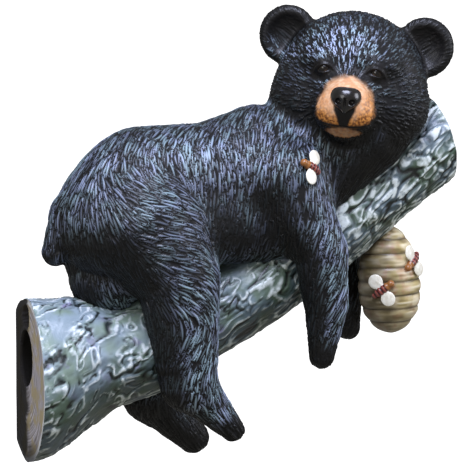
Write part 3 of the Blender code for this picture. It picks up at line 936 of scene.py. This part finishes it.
def head_brushing_and_highlight(points, facing, blotch, marks):
    """Dry brushing and painted highlight on the head.

    Most on the forehead, some on brows and cheek, none in the sockets.
    """
    x, y, z = in_head(points).T
    front = smooth_step(2, 9, y)
    forehead = np.exp(-(((x - 3.5) / 9.5) ** 2 + ((z - 11.0) / 6) ** 2)) * front
    brow = np.exp(-(((np.abs(x) - 6.0) / 4) ** 2 + ((z - 9.0) / 1.8) ** 2)) * front
    cheek = np.exp(-(((x - 10) / 4) ** 2 + (z / 5) ** 2))
    head = 0.16 * facing + 1.5 * forehead + 0.3 * brow + 0.25 * cheek * blotch + 0.6 * marks["eye_line"]
    head = head * (1 - marks["eye_socket"]) * (1 - 0.9 * marks["ear_rim"])
    in_ear = marks["ear"] * smooth_step(12, 6, z) * smooth_step(0, 4, x)
    return np.maximum(head, in_ear)


def brushing_and_painted_highlight(points, normals, marks):
    """How strongly each part of the bear takes dry brushing and painted highlight."""
    # Painted highlight on what faces up, a little less on what faces straight up.
    facing = smooth_step(-0.4, 0.4, normals[:, 2]) * (0.6 + 0.4 * smooth_step(1.0, 0.7, normals[:, 2]))
    blotch = 0.5 + 0.5 * smooth_noise(points, 8, 5)
    body = body_brushing_and_highlight(points, normals, facing, blotch)
    head = head_brushing_and_highlight(points, facing, blotch, marks)
    on_head = share_of_head(points)
    return np.clip(body, 0, 1) * (1 - on_head) + np.clip(head, 0, 1.7) * on_head


def bear_surface():
    """The bear's plain surface over the branch: points, quads, and which quads face the photograph's side."""
    points, quads = polygonise(bear_form, *BEAR_ROOM, COARSE_STEP / SHARE)
    points = settle(relax(points, quads, 4), quads, 2)
    centre = (points * SHARE + belly_place())[quads].mean(axis=1)
    _, _, off = branch_place(centre)
    points, quads, _ = keep_faces(points, quads, (off > -BEAR_INTO_BRANCH) | (centre[:, 0] < 0))
    facing = face_normals(points, quads)[quads].mean(axis=1)
    toward = np.array((math.sin(VIEW_AZIMUTH), -math.cos(VIEW_AZIMUTH), 0))
    return points, quads, facing @ toward > SEEN_FACING


def fur_relief(points, normals, marks, spacing):
    """Height of the carved fur over the smooth form, 0 to 1, at points in metres."""
    unit = (points - belly_place()) / SHARE
    lies = comb(unit, normals)
    fine = 1 - (1 - FACE_FUR) * share_of_head(unit) * smooth_step(-8, 6, in_head(unit)[:, 1])
    area = len(points) * spacing ** 2
    count = int(FUR_LAYERS * area / (FUR_LENGTH * FUR_WIDTH * 0.6))
    starts = chance.integers(0, len(points), count)
    copies = np.floor(fine[starts] ** -1.5 + chance.random(count)).astype(int)
    starts = chance.permutation(np.repeat(starts, copies))
    return lay_strokes(points, normals, lies, starts, fine) * (1 - 0.2 * marks["ear_rim"])


def carve_bear(points, quads, finer):
    """Subdivides part of the bear, cuts fur and face into it: its points, quads, normals and layers."""
    for _ in range(finer):
        points, quads = subdivide(points, quads)
    points = settle(points, quads, 1)
    normals = face_normals(points, quads)
    marks = face_marks(points)
    metres = points * SHARE + belly_place()
    ridge = fur_relief(metres, normals, marks, COARSE_STEP / 2 ** finer)
    bare = np.clip(marks["muzzle"] + marks["eye_socket"] + marks["mouth"] + marks["philtrum"], 0, 1)
    bare = np.maximum.reduce([bare, 0.7 * marks["ear"], 0.5 * marks["ear_rim"]])
    clump = smooth_noise(metres, 0.008, 11)
    depth = FUR_DEPTH * (0.95 + 0.3 * clump) * (1 - 0.96 * bare)
    pebble = np.abs(smooth_noise(metres, PEBBLE_SIZE, 13)) * marks["muzzle"]
    pebble = PEBBLE_DEPTH * pebble * (0.25 + 0.75 * marks["muzzle_low"])
    cuts = MOUTH_DEPTH * marks["mouth"] + PHILTRUM_DEPTH * marks["philtrum"]
    cuts = cuts + EYE_HOLE_DEPTH * marks["eye_hole"]
    lids = LID_HEIGHT * marks["eye_lid"]
    metres = metres + normals * ((ridge - FUR_LEVEL) * depth - pebble - cuts + lids)[:, None]
    dark = np.maximum.reduce([
        marks["mouth"],
        marks["philtrum"],
        marks["eye_hole"],
        0.9 * marks["eye_socket"],
        0.6 * marks["lip"],
        0.4 * marks["chin"],
    ])
    layers = {
        "ridge": ridge,
        "brushed": brushing_and_painted_highlight(points, normals, marks),
        "muzzle": marks["muzzle"],
        "muzzle_low": marks["muzzle_low"],
        "dark": dark,
        "ear": marks["ear"],
    }
    return metres, quads, face_normals(metres, quads), layers


def bear_regions(middle):
    """Which faces belong to the head, shoulder, foreleg, back and hind leg, by the faces' middles."""
    head = head_form(middle) < body_form(middle)
    fore = middle[:, 0] > FORE_PART_AHEAD
    leg = middle[:, 2] < LEG_PART_BELOW
    return {
        "head": head,
        "shoulder": ~head & fore & ~leg,
        "foreleg": ~head & fore & leg,
        "back": ~head & ~fore & ~leg,
        "hind_leg": ~head & ~fore & leg,
    }


def make_bear(finish):
    """The bear in pieces: its near side carved finely, its far side, a row of faces wider, more plainly."""
    plain, faces, seen = bear_surface()
    ring = np.isin(faces, np.unique(faces[~seen])).any(axis=1)
    sides = {"near": (faces[seen], 2), "far": (faces[~seen | ring], 1)}
    pieces = []
    for side, (own_faces, finer) in sides.items():
        own_points, own_faces, _ = keep_faces(plain, own_faces, slice(None))
        points, quads, normals, layers = carve_bear(own_points, own_faces, finer)
        middle = (points[quads].mean(axis=1) - belly_place()) / SHARE
        for region, kept in bear_regions(middle).items():
            own, own_quads, used = keep_faces(points, quads, kept)
            own_layers = {key: values[used] for key, values in layers.items()}
            name = "bear_" + side + "_" + region
            pieces.append(piece_mesh(name, own, own_quads, finish, own_layers, normals[used]))
    return pieces


def surface_y(x, z):
    """How far forward the face's surface lies at one place across and up from the head's middle."""
    forward = np.arange(30, 5, -0.05)
    local = np.stack([np.full(len(forward), x), forward, np.full(len(forward), z)], axis=1)
    points = local @ head_axes() + np.array(HEAD_MIDDLE)
    return forward[np.argmax(bear_form(points) < 0)]


def from_head(local):
    """Head places, in hundredths of the bear's length, as metres."""
    return (np.asarray(local, float) @ head_axes() + np.array(HEAD_MIDDLE)) * SHARE + belly_place()


def nose_form(local):
    """The distance to the nose: flat on top, squarish, narrower below, with two nostrils and a groove."""
    x, y, z = local.T
    low = np.clip((0.8 - z) / 6.0, 0, 1)
    widened = np.stack([x / (1.0 - 0.5 * low ** 3.5), y, z], axis=1)
    form = ellipsoid(widened, np.array(NOSE_MIDDLE), np.array(NOSE_RADII))
    form = -smooth_min(-form, -(z - 0.95 - 0.05 * (y - 25)), 1.2)
    paired = np.stack([np.abs(x), y, z], axis=1)
    nostril = ellipsoid(paired, *map(np.array, NOSTRIL))
    form = -smooth_min(-form, nostril, 0.4)
    groove = np.hypot(x / 0.3, (y - 28.0) / 1.0) - 1
    return -smooth_min(-form, np.where(z < -1.6, groove, 1.0) * 0.3, 0.25)


def make_nose(finish):
    """The nose pad."""
    points, quads = polygonise(nose_form, *NOSE_ROOM, NOSE_STEP / SHARE)
    place = from_head(points)
    return piece_mesh("bear_nose", place, quads, finish, normals=face_normals(place, quads))


def make_eyes(finish):
    """The two eyeballs, set behind their lids."""
    rows, turns = 24, 40
    pieces = []
    for name, side in (("bear_right_eye", -1), ("bear_left_eye", 1)):
        across, _, upward = EYE[0]
        forward = surface_y(side * across, upward) - EYEBALL_RADIUS - EYEBALL_SUNK
        down = np.linspace(0.02, math.pi - 0.02, rows)
        around = np.linspace(0, 2 * math.pi, turns, endpoint=False)
        down, around = np.meshgrid(down, around, indexing="ij")
        out = np.sin(down)
        ball = np.stack([out * np.cos(around), np.cos(down), out * np.sin(around)], axis=-1)
        local = ball.reshape(-1, 3) * EYEBALL_RADIUS + (side * across, forward, upward)
        pieces.append(piece_mesh(name, from_head(local), ring_quads(rows, turns)[:, ::-1], finish))
    return pieces


def plates(along, around, seed):
    """Bark plates: how far each place is from a crease, in crease widths, and how high its plate stands."""
    rng = np.random.default_rng(seed)
    columns = round(2 * math.pi * BRANCH_RADIUS / PLATE_WIDTH)
    rows = 64
    jitter = rng.uniform(0.05, 0.95, (rows, columns, 2))
    raised = rng.uniform(0, 1, (rows, columns))
    u = along / PLATE_LENGTH
    v = around / (2 * math.pi) % 1.0 * columns
    base_u, base_v = np.floor(u).astype(int), np.floor(v).astype(int)
    nearest = np.full(len(u), 9.0)
    second = np.full(len(u), 9.0)
    height = np.zeros(len(u))
    for step_u in (-1, 0, 1):
        for step_v in (-1, 0, 1):
            row, column = (base_u + step_u) % rows, (base_v + step_v) % columns
            spot = jitter[row, column]
            away = np.hypot(base_u + step_u + spot[:, 0] - u, base_v + step_v + spot[:, 1] - v)
            closer = away < nearest
            second = np.where(closer, nearest, np.minimum(second, away))
            height = np.where(closer, raised[row, column], height)
            nearest = np.where(closer, away, nearest)
    return (second - nearest) * PLATE_WIDTH / (2 * CREASE_WIDTH), height


def line_distance(place, size, seed):
    """How far each place is from the nearest winding line, in metres, with its sign."""
    value = smooth_noise(place, size, seed)
    step = 0.08 * size
    slope = [(smooth_noise(place + step * axis, size, seed) - value) / step for axis in np.eye(3)]
    return value / np.maximum(np.linalg.norm(slope, axis=0), 0.35 / size)


def bark_relief(along, around):
    """The bark's height, 0 to 1: winding raised edges, each with a crease, round plates and wrinkles."""
    radius = limb_radius(along)
    turned = around - BARK_TWIST * along
    place = np.stack([along, np.cos(turned) * radius, np.sin(turned) * radius], axis=1)
    bent = np.stack([smooth_noise(place, 0.012, seed) for seed in (20, 21, 22)], axis=1)
    place = place + 0.003 * bent
    height = 0.5 + 0.12 * smooth_noise(place * (0.5, 1, 1), 0.0026, 32)
    for size, stretch, raised, seed in BARK_LINES:
        away = line_distance(place * (stretch, 1, 1), size, seed)
        strength = raised * smooth_step(-0.35, 0.15, smooth_noise(place, 1.8 * size, seed + 10))
        height += 0.9 * strength * np.exp(-((away / BARK_EDGE) ** 2))
        height -= 1.1 * strength * np.exp(-(((away - 1.7 * BARK_EDGE) / (0.8 * BARK_EDGE)) ** 2))
    plated = smooth_step(0.16, 0.3, along + 0.05 * smooth_noise(place, 0.03, 26))
    depth, raised = plates(along + 0.006 * bent[:, 0], around + 0.14 * bent[:, 1], 23)
    height += plated * (0.14 * raised - 0.3 * np.exp(-((depth / 0.6) ** 2)))
    height += plated * 0.25 * np.exp(-(((depth - 1.8) / 0.7) ** 2))
    return np.clip(height, 0, 1.1)


def bark_base(x, angle):
    """How far the bark's broad swells stand proud at one place."""
    around = BRANCH_RADIUS * 1.2
    place = Vector((x * 0.6, math.cos(angle) * around, math.sin(angle) * around)) / BARK_PLATE
    return BARK_DEPTH * max(-1.0, min(1.0, 1.6 * noise.fractal(place, 1.0, 2.0, 2)))


def branch_skin(along, angles, relief):
    """Points of the branch at places along and round it, this far off its plain surface."""
    height, slope = bend(along)
    length = np.sqrt(1 + slope * slope)
    rounding = np.clip(along / BACK_FLAT_LENGTH, 0, 1) ** 2
    radius = limb_radius(along)
    side_flat = BACK_FLAT + (radius + BARK_DEPTH - BACK_FLAT) * rounding
    reach = radius + relief
    over = np.sin(angles) * reach - side_flat
    across = np.minimum(np.sin(angles) * reach, side_flat + np.where(over > 0, relief * 0.3, 0))
    upward = np.cos(angles) * reach
    return np.stack([along - slope / length * upward, across, height + upward / length], axis=-1)


def bark_ends(angles, tip, tip_normal):
    """Where the bark starts and ends along the branch at each angle, at its two cuts."""
    plain = np.zeros(len(angles))
    start = np.zeros(len(angles))
    end = np.full(len(angles), BRANCH_LENGTH)
    for _ in range(12):
        start -= branch_skin(start, angles, plain)[:, 0]
        end -= (branch_skin(end, angles, plain) - tip) @ tip_normal
    return start, end


def make_branch(bark_finish, wood_finish):
    """The branch: bark between its two cuts, and the cut wood that closes them."""
    half = math.pi * BRANCH_RADIUS
    far = np.linspace(0, math.pi, round(half / FAR_BARK_STEP), endpoint=False)
    near = np.linspace(math.pi, 2 * math.pi, round(half / BARK_STEP), endpoint=False)
    angles = np.concatenate([far, near])
    sides = len(angles)
    rings = round(BRANCH_LENGTH * SLOPE_ALLOWANCE / BARK_STEP)
    tip = branch_skin(np.array([BRANCH_LENGTH]), np.array([0.0]), -limb_radius(BRANCH_LENGTH))[0]
    tip_normal = np.array((math.cos(TIP_CUT_ANGLE), 0, math.sin(TIP_CUT_ANGLE)))
    start, end = bark_ends(angles, tip, tip_normal)
    share = np.linspace(0, 1, rings)[:, None]
    along = (start + (end - start) * share).ravel()
    around = np.tile(angles, rings)
    swell = coarse_bark(along, around)
    bulge = bark_relief(along, around)
    ends = smooth_step(0, 0.003, np.minimum(along - np.tile(start, rings), np.tile(end, rings) - along))
    relief = swell + (bulge - BARK_LEVEL) * CREASE_DEPTH * (0.3 + 0.7 * ends)
    points = branch_skin(along, around, relief)
    low_end = np.repeat(share == 0, sides)
    high_end = np.repeat(share == 1, sides)
    points[low_end, 0] = 0
    points[high_end] -= ((points[high_end] - tip) @ tip_normal)[:, None] * tip_normal
    quads = ring_quads(rings, sides)
    normals = face_normals(points, quads)
    # Painted light and shade for the bark: lit where it faces up, shaded where it faces down, less lit away
    # from the thick end.
    facing = 0.5 + 0.5 * normals[:, 2]
    light = smooth_step(0.25, 0.8, facing + 0.1 * smooth_noise(points, 0.02, 27))
    layers = {
        "height": np.clip(bulge, 0, 1),
        "light": light * (1 - 0.45 * smooth_step(0.08, 0.25, along)),
    }
    bark = piece_mesh("branch_bark", points, quads, bark_finish, layers)
    root = make_root_face(points[:sides], wood_finish)
    tip_face = make_tip_face(points[-sides:], tip_normal, wood_finish)
    return [bark, root, tip_face]


def coarse_bark(along, around):
    """The bark's broad swells, looked up on a coarse grid."""
    rows, columns = 120, 96
    low, high = along.min(), along.max()
    places = np.linspace(low, high, rows)
    angles = np.arange(columns) * 2 * math.pi / columns
    table = np.array([[bark_base(place, angle) for angle in angles] for place in places])
    u = (along - low) / (high - low) * (rows - 1)
    v = (around / (2 * math.pi) % 1.0) * columns
    row, column = np.minimum(np.floor(u).astype(int), rows - 2), np.floor(v).astype(int)
    part_u, part_v = u - row, v - column
    after = (column + 1) % columns
    column = column % columns
    first = table[row, column] * (1 - part_v) + table[row, after] * part_v
    second = table[row + 1, column] * (1 - part_v) + table[row + 1, after] * part_v
    return first * (1 - part_u) + second * part_u


def hollow_rings(middle, mouth):
    """Rings of points down the hollow's tapered wall, then over its floor towards the middle."""
    wall_steps, floor_steps = 14, 8
    outward = mouth - middle
    rings = []
    for step in range(1, wall_steps + 1):
        share = step / wall_steps
        rings.append(middle + outward * (1 - SOCKET_TAPER * share) + (HOLLOW_DEPTH * share, 0, 0))
    for step in range(1, floor_steps + 1):
        share = 1 - step / (floor_steps + 0.2)
        rings.append(middle + outward * (1 - SOCKET_TAPER) * share + (HOLLOW_DEPTH, 0, 0))
    return np.array(rings)


def make_root_face(rim, finish):
    """The cut face at the thick end, with its hollow and the shallow pocket above it."""
    sides = len(rim)
    hollow_middle = np.array((0, 0, HOLLOW_ABOVE_MOUNT))
    direction = rim - hollow_middle
    mouth = hollow_middle + direction / np.linalg.norm(direction, axis=1, keepdims=True) * HOLLOW_RADIUS
    steps = 34
    flat = np.array([rim + (mouth - rim) * step / steps for step in range(steps + 1)])
    flat[..., 0] = pocket_depth(flat[..., 1], flat[..., 2])
    depth_from_rim = np.linalg.norm(flat - rim, axis=2)
    inward = hollow_rings(hollow_middle, mouth)
    points = np.concatenate([flat, inward])
    place = points.reshape(-1, 3)
    wobble = WALL_UNEVEN * smooth_noise(place, 0.006, 31)
    on_flat = np.repeat(np.arange(len(points)) < steps, sides)
    on_face = np.repeat(np.arange(len(points)) <= steps, sides)
    place[:, 1:] += np.where(on_flat, 0, wobble)[:, None]
    ring_place = np.concatenate([depth_from_rim, np.repeat(depth_from_rim[-1:], len(inward), axis=0)]).ravel()
    drawn_out = np.stack([ring_place * 2.5, place[:, 1] * 0.3, place[:, 2] * 0.3], axis=1)
    streak = smooth_noise(drawn_out, 0.006, 32)
    lip = smooth_step(0.0, 0.002, ring_place)
    place[:, 0] += np.where(on_flat, STREAK_DEPTH * (0.5 + 0.5 * streak) * lip, 0)
    quads = ring_quads(len(points), sides)
    # Painted shade: near-black in the hollow and the pocket, and over the face's far side and its bottom.
    hollow_painted_shade = smooth_step(-0.0005, 0.001, place[:, 0] - 0.001 * (place[:, 1] < 0)) * ~on_flat
    pocket_painted_shade = smooth_step(0.0012, 0.004, place[:, 0]) * on_flat * 0.6
    blotch = smooth_noise(place, 0.012, 34)
    far_and_low_painted_shade = smooth_step(-0.014, 0.004, place[:, 1] + 0.006 * blotch) * on_face * 0.96
    far_and_low_painted_shade = np.maximum(far_and_low_painted_shade, smooth_step(0.0, -0.04, place[:, 2] + 0.015 * blotch) * on_flat * 0.85)
    values = {
        "ring": ring_place + 0.0012 * smooth_noise(place, 0.01, 33),
        "deep": np.maximum.reduce([hollow_painted_shade, pocket_painted_shade, far_and_low_painted_shade]),
    }
    return piece_mesh("branch_cut_face", place, quads, finish, values)


def pocket_depth(y, z):
    """How deep the shallow pocket above the hollow is at each place of the cut face."""
    middle = HOLLOW_ABOVE_MOUNT + HOLLOW_RADIUS + POCKET_RADIUS
    away = np.hypot(y, z - middle)
    ledge = smooth_step(HOLLOW_RADIUS, HOLLOW_RADIUS * 1.08, np.hypot(y, z - HOLLOW_ABOVE_MOUNT))
    return POCKET_DEPTH * smooth_step(POCKET_RADIUS * 1.06, POCKET_RADIUS * 0.86, away) * ledge


def make_tip_face(rim, normal, finish):
    """The sawn face at the thin end, with growth rings."""
    middle = rim.mean(axis=0)
    steps = 30
    points = np.array([rim + (middle - rim) * step / (steps + 0.5) for step in range(steps + 1)])
    from_rim = np.linalg.norm(points - rim, axis=2).ravel()
    place = points.reshape(-1, 3)
    growth = np.sin(from_rim / GROWTH_RING * 2 * math.pi + 2 * smooth_noise(place, 0.012, 41))
    sunk = TIP_FACE_SUNK * smooth_step(0.0, 0.004, from_rim)
    sunk += GROWTH_RING_DEPTH * growth * smooth_step(0.002, 0.005, from_rim)
    place = place - normal * sunk[:, None]
    quads = ring_quads(len(points), len(rim))
    values = {
        "ring": from_rim + 0.0015 * smooth_noise(place, 0.012, 42),
        "deep": np.zeros(len(place)),
    }
    return piece_mesh("branch_tip_face", place, quads, finish, values)


def hive_top():
    """Where the hive's top lies, inside the branch's underside."""
    x = HIVE_ALONG * BRANCH_LENGTH
    height, slope = bend(x)
    down = float(limb_radius(x)) * math.sqrt(1 + float(slope) ** 2) - HIVE_INTO_BRANCH
    return np.array((x, 0, float(height) - down))


def hive_radius(down):
    """The hive's radius at a share of its height from the top: a skep with coils that bulge."""
    reach = np.where(down < HIVE_WIDEST, HIVE_WIDEST, 1 - HIVE_WIDEST)
    egg = (1 - np.clip(np.abs(down - HIVE_WIDEST) / reach, 0, 1) ** 2.3) ** 0.55
    coil = np.abs(np.sin(math.pi * HIVE_COILS * down))
    return HIVE_RADIUS * egg - COIL_BULGE * (1 - coil)


def make_hive(finish):
    """The hive: bands of straw with wavy strands, turned about its own axis."""
    sides = round(2 * math.pi * HIVE_RADIUS / HIVE_STEP)
    rows = round(1.35 * HIVE_HEIGHT / HIVE_STEP)
    down = (1 - np.cos(np.linspace(0.0, math.pi, rows))) / 2
    down = np.clip(down * 0.5 + np.linspace(0, 1, rows) * 0.5, 0.004, 0.9985)
    angle = np.arange(sides) * 2 * math.pi / sides
    down, angle = (grid.ravel() for grid in np.meshgrid(down, angle, indexing="ij"))
    ring = np.stack([np.cos(angle), np.sin(angle), down * HIVE_HEIGHT / HIVE_RADIUS], axis=1) * HIVE_RADIUS
    tilt = 0.006 * smooth_noise(ring, 0.03, 51)
    wavy = np.clip(down + tilt, 0, 1)
    coil = np.abs(np.sin(math.pi * HIVE_COILS * wavy))
    band = coil ** 0.55
    radius = hive_radius(down) + COIL_BULGE * (band - np.abs(np.sin(math.pi * HIVE_COILS * down)))
    strand = smooth_noise(ring * (0.22, 0.22, 1.3), 0.0026, 52)
    knots = smooth_noise(ring * (0.4, 0.4, 1.2), 0.008, 53)
    radius = np.maximum(radius + (STRAND_DEPTH * strand + KNOT_DEPTH * knots) * band, 0.0004)
    local = np.stack([radius * np.cos(angle), radius * np.sin(angle), -down * HIVE_HEIGHT], axis=1)
    place = local @ np.array(Matrix.Rotation(HIVE_LEAN, 3, "Y")).T + hive_top()
    quads = ring_quads(rows, sides)
    # The shade layer is painted shade: on the side towards the bear and towards the bottom.
    blotch = smooth_noise(ring, 0.02, 54)
    left = smooth_step(0.3, -0.9, np.cos(angle) + 0.25 * blotch)
    shade = np.maximum(left, 0.7 * smooth_step(0.7, 1.0, down + 0.05 * blotch))
    layers = {"height": band, "strand": 0.5 + 0.5 * strand, "shade": shade}
    return piece_mesh("hive_coils", place, quads, finish, layers)


def hive_form(points):
    """The distance to the hive, in metres, near its side."""
    local = (points - hive_top()) @ np.array(Matrix.Rotation(HIVE_LEAN, 3, "Y"))
    down = np.clip(-local[:, 2] / HIVE_HEIGHT, 0, 1)
    return np.linalg.norm(local[:, :2], axis=1) - hive_radius(down)


def bear_in_place(points):
    """The distance to the bear where it lies, in metres."""
    return bear_form((points - belly_place()) / SHARE) * SHARE


def bee_wings(paired):
    """The distance to the wings, in lengths of the bee."""
    base, end = BEE_WING_BASE
    form = ellipsoid(paired, *map(np.array, BEE_WING))
    return smooth_min(form, chain(paired, [(base, BEE_WING_BASE_RADIUS), (end, BEE_WING_BASE_RADIUS)]), 0.03)


def bee_body(paired):
    """The distance to the body, ringed between its stripes, in lengths of the bee."""
    x = paired[:, 0]
    ringed = 0.012 * np.cos(x * 2 * math.pi / BEE_STRIPE) * smooth_step(0.2, 0.05, x)
    waist = 0.022 * np.exp(-(((x - 0.28) / 0.05) ** 2))
    return chain(paired, BEE_BODY) + ringed + waist


def bee_form(points):
    """The distance to a bee that faces +X with its back up, in lengths of the bee."""
    paired = np.stack([points[:, 0], np.abs(points[:, 1]), points[:, 2]], axis=1)
    return smooth_min(bee_body(paired), bee_wings(paired), 0.02)


def seat(form, start, direction, heading):
    """A bee's place where a ray first meets the form, and its rows: forward, across and outward."""
    reach = np.arange(0, BEAR_LENGTH / 2, BEE_LENGTH / 120)
    ray = np.array(start) + reach[:, None] * np.array(direction)
    place = ray[np.argmax(form(ray) < 0)]
    nudge = np.eye(3) * 0.001
    out = Vector(form(place + nudge) - form(place - nudge)).normalized()
    forward = Vector((math.cos(heading), 0, math.sin(heading)))
    forward = (forward - out * forward.dot(out)).normalized()
    return place, np.array((forward, out.cross(forward), out))


def make_bee(name, form, place, rows, finish):
    """A bee bonded to the form."""

    def seated(points):
        host = form(points * BEE_LENGTH @ rows + place)
        return np.maximum(bee_form(points), (-BEE_INTO_HOST - host) / BEE_LENGTH)

    reach = np.array((0.6, 0.78, 0.3))
    points, quads = polygonise(seated, -reach, reach, BEE_STEP / BEE_LENGTH)
    paired = np.stack([points[:, 0], np.abs(points[:, 1]), points[:, 2]], axis=1)
    x = points[:, 0]
    striped = smooth_step(-0.2, 0.4, np.cos(x * 2 * math.pi / BEE_STRIPE))
    layers = {
        "wing": smooth_step(0.012, -0.006, bee_wings(paired) - bee_body(paired)),
        "stripe": striped * smooth_step(0.22, 0.16, x),
        "head": smooth_step(0.14, 0.22, x),
    }
    metres = points * BEE_LENGTH @ rows + place
    return piece_mesh(name + "_painted", metres, quads, finish, layers, face_normals(metres, quads))


def make_bees(finish):
    """The bee on the near shoulder and the two on the hive."""
    x, _, z = belly_place() + np.array(SHOULDER_BEE_PLACE) * SHARE
    place, rows = seat(bear_in_place, (x, -BEAR_LENGTH / 2, z), (0, 1, 0), SHOULDER_BEE_HEADING)
    bees = [("bee_on_shoulder", make_bee("bee_on_shoulder", bear_in_place, place, rows, finish))]
    for name, down, around, heading in HIVE_BEES:
        away = np.array((math.sin(around), -math.cos(around), 0))
        height = hive_top() - np.array((0, 0, down * HIVE_HEIGHT))
        place, rows = seat(hive_form, height + away * 2 * HIVE_RADIUS, -away, heading)
        bees.append((name, make_bee(name, hive_form, place, rows, finish)))
    return bees


def dress(pieces, node):
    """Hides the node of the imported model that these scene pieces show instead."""
    for piece in pieces:
        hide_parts(node)


def add_camera():
    """The camera at the photograph's angle."""
    back = Vector((
        math.sin(VIEW_AZIMUTH) * math.cos(VIEW_ELEVATION),
        -math.cos(VIEW_AZIMUTH) * math.cos(VIEW_ELEVATION),
        math.sin(VIEW_ELEVATION),
    ))
    right = Vector((math.cos(VIEW_AZIMUTH), math.sin(VIEW_AZIMUTH), 0))
    up = back.cross(right)
    pixel = 2 * VIEW_HALF_WIDTH / PHOTO_SIDE
    middle = PHOTO_SIDE / 2
    target = right * (middle - ORIGIN_IN_PHOTO[0]) * pixel + up * (ORIGIN_IN_PHOTO[1] - middle) * pixel
    camera = bpy.data.objects.new("camera", bpy.data.cameras.new("camera"))
    bpy.context.scene.collection.objects.link(camera)
    camera.location = target + back * VIEW_DISTANCE
    camera.rotation_euler = back.to_track_quat("Z", "Y").to_euler()
    camera.data.sensor_width = SENSOR_WIDTH
    camera.data.lens = SENSOR_WIDTH / 2 * VIEW_DISTANCE / VIEW_HALF_WIDTH
    bpy.context.scene.camera = camera


def add_light(name, size, power, place, target, colour):
    """A square soft light that looks at the target."""
    lamp = bpy.data.lights.new(name, "AREA")
    lamp.size = size
    lamp.energy = power
    lamp.color = linear(colour)[:3]
    made = bpy.data.objects.new(name, lamp)
    bpy.context.scene.collection.objects.link(made)
    made.location = place
    made.rotation_euler = (Vector(place) - Vector(target)).to_track_quat("Z", "Y").to_euler()
    return made


def add_backdrop():
    """A pale floor, far below, that rises to a pale rim all round."""
    middle = Vector((0.2, 0, -0.5))
    profile = [
        (0.0, 0.0),
        (1.0, 0.0),
        (2.0, 0.0),
        (3.0, 0.0),
        (3.6, 0.07),
        (4.1, 0.27),
        (4.5, 0.65),
        (4.8, 1.25),
        (4.95, 2.2),
        (5.0, 3.6),
    ]
    sides = 96
    points = []
    for radius, lift in profile:
        for i in range(sides):
            turn = i * 2 * math.pi / sides
            points.append(middle + Vector((radius * math.cos(turn), radius * math.sin(turn), lift)))
    paper, tree, shader = coat("white_paper_backdrop", 0.9)
    shade = mix_colour(tree, ramp(tree, speckle(tree, 900), 0.3, 0.7), "#FBFBFB", "#FFFFFF")
    tree.links.new(shade, shader.inputs["Base Color"])
    tree.links.new(shade, shader.inputs["Emission Color"])
    shader.inputs["Emission Strength"].default_value = 1.0
    mesh = bpy.data.meshes.new("backdrop")
    mesh.from_pydata(points, [], ring_quads(len(profile), sides).tolist())
    mesh.shade_smooth()
    mesh.materials.append(paper)
    floor = bpy.data.objects.new("backdrop", mesh)
    bpy.context.scene.collection.objects.link(floor)
    floor.visible_glossy = False
    floor.visible_diffuse = False


def add_sky():
    """A pale sky, and plain colours in the picture."""
    world = bpy.data.worlds.new("pale_sky")
    world.use_nodes = True
    bpy.context.scene.world = world
    background = world.node_tree.nodes["Background"]
    background.inputs["Color"].default_value = linear("#DFDDD8")
    background.inputs["Strength"].default_value = 0.38
    bpy.context.scene.view_settings.view_transform = "Standard"


add_camera()
add_backdrop()
add_sky()
for name, size, power, place, colour in SOFTBOXES:
    add_light(name, size, power, place, LIGHTS_AIM, colour)
dress(make_bear(painted_fur()) + [make_nose(nose_enamel())] + make_eyes(eye_enamel()), "bear")
dress(make_branch(painted_bark(), painted_cut_wood()), "branch")
dress([make_hive(painted_hive())], "beehive")
for node, bee in make_bees(painted_bee()):
    dress([bee], node)
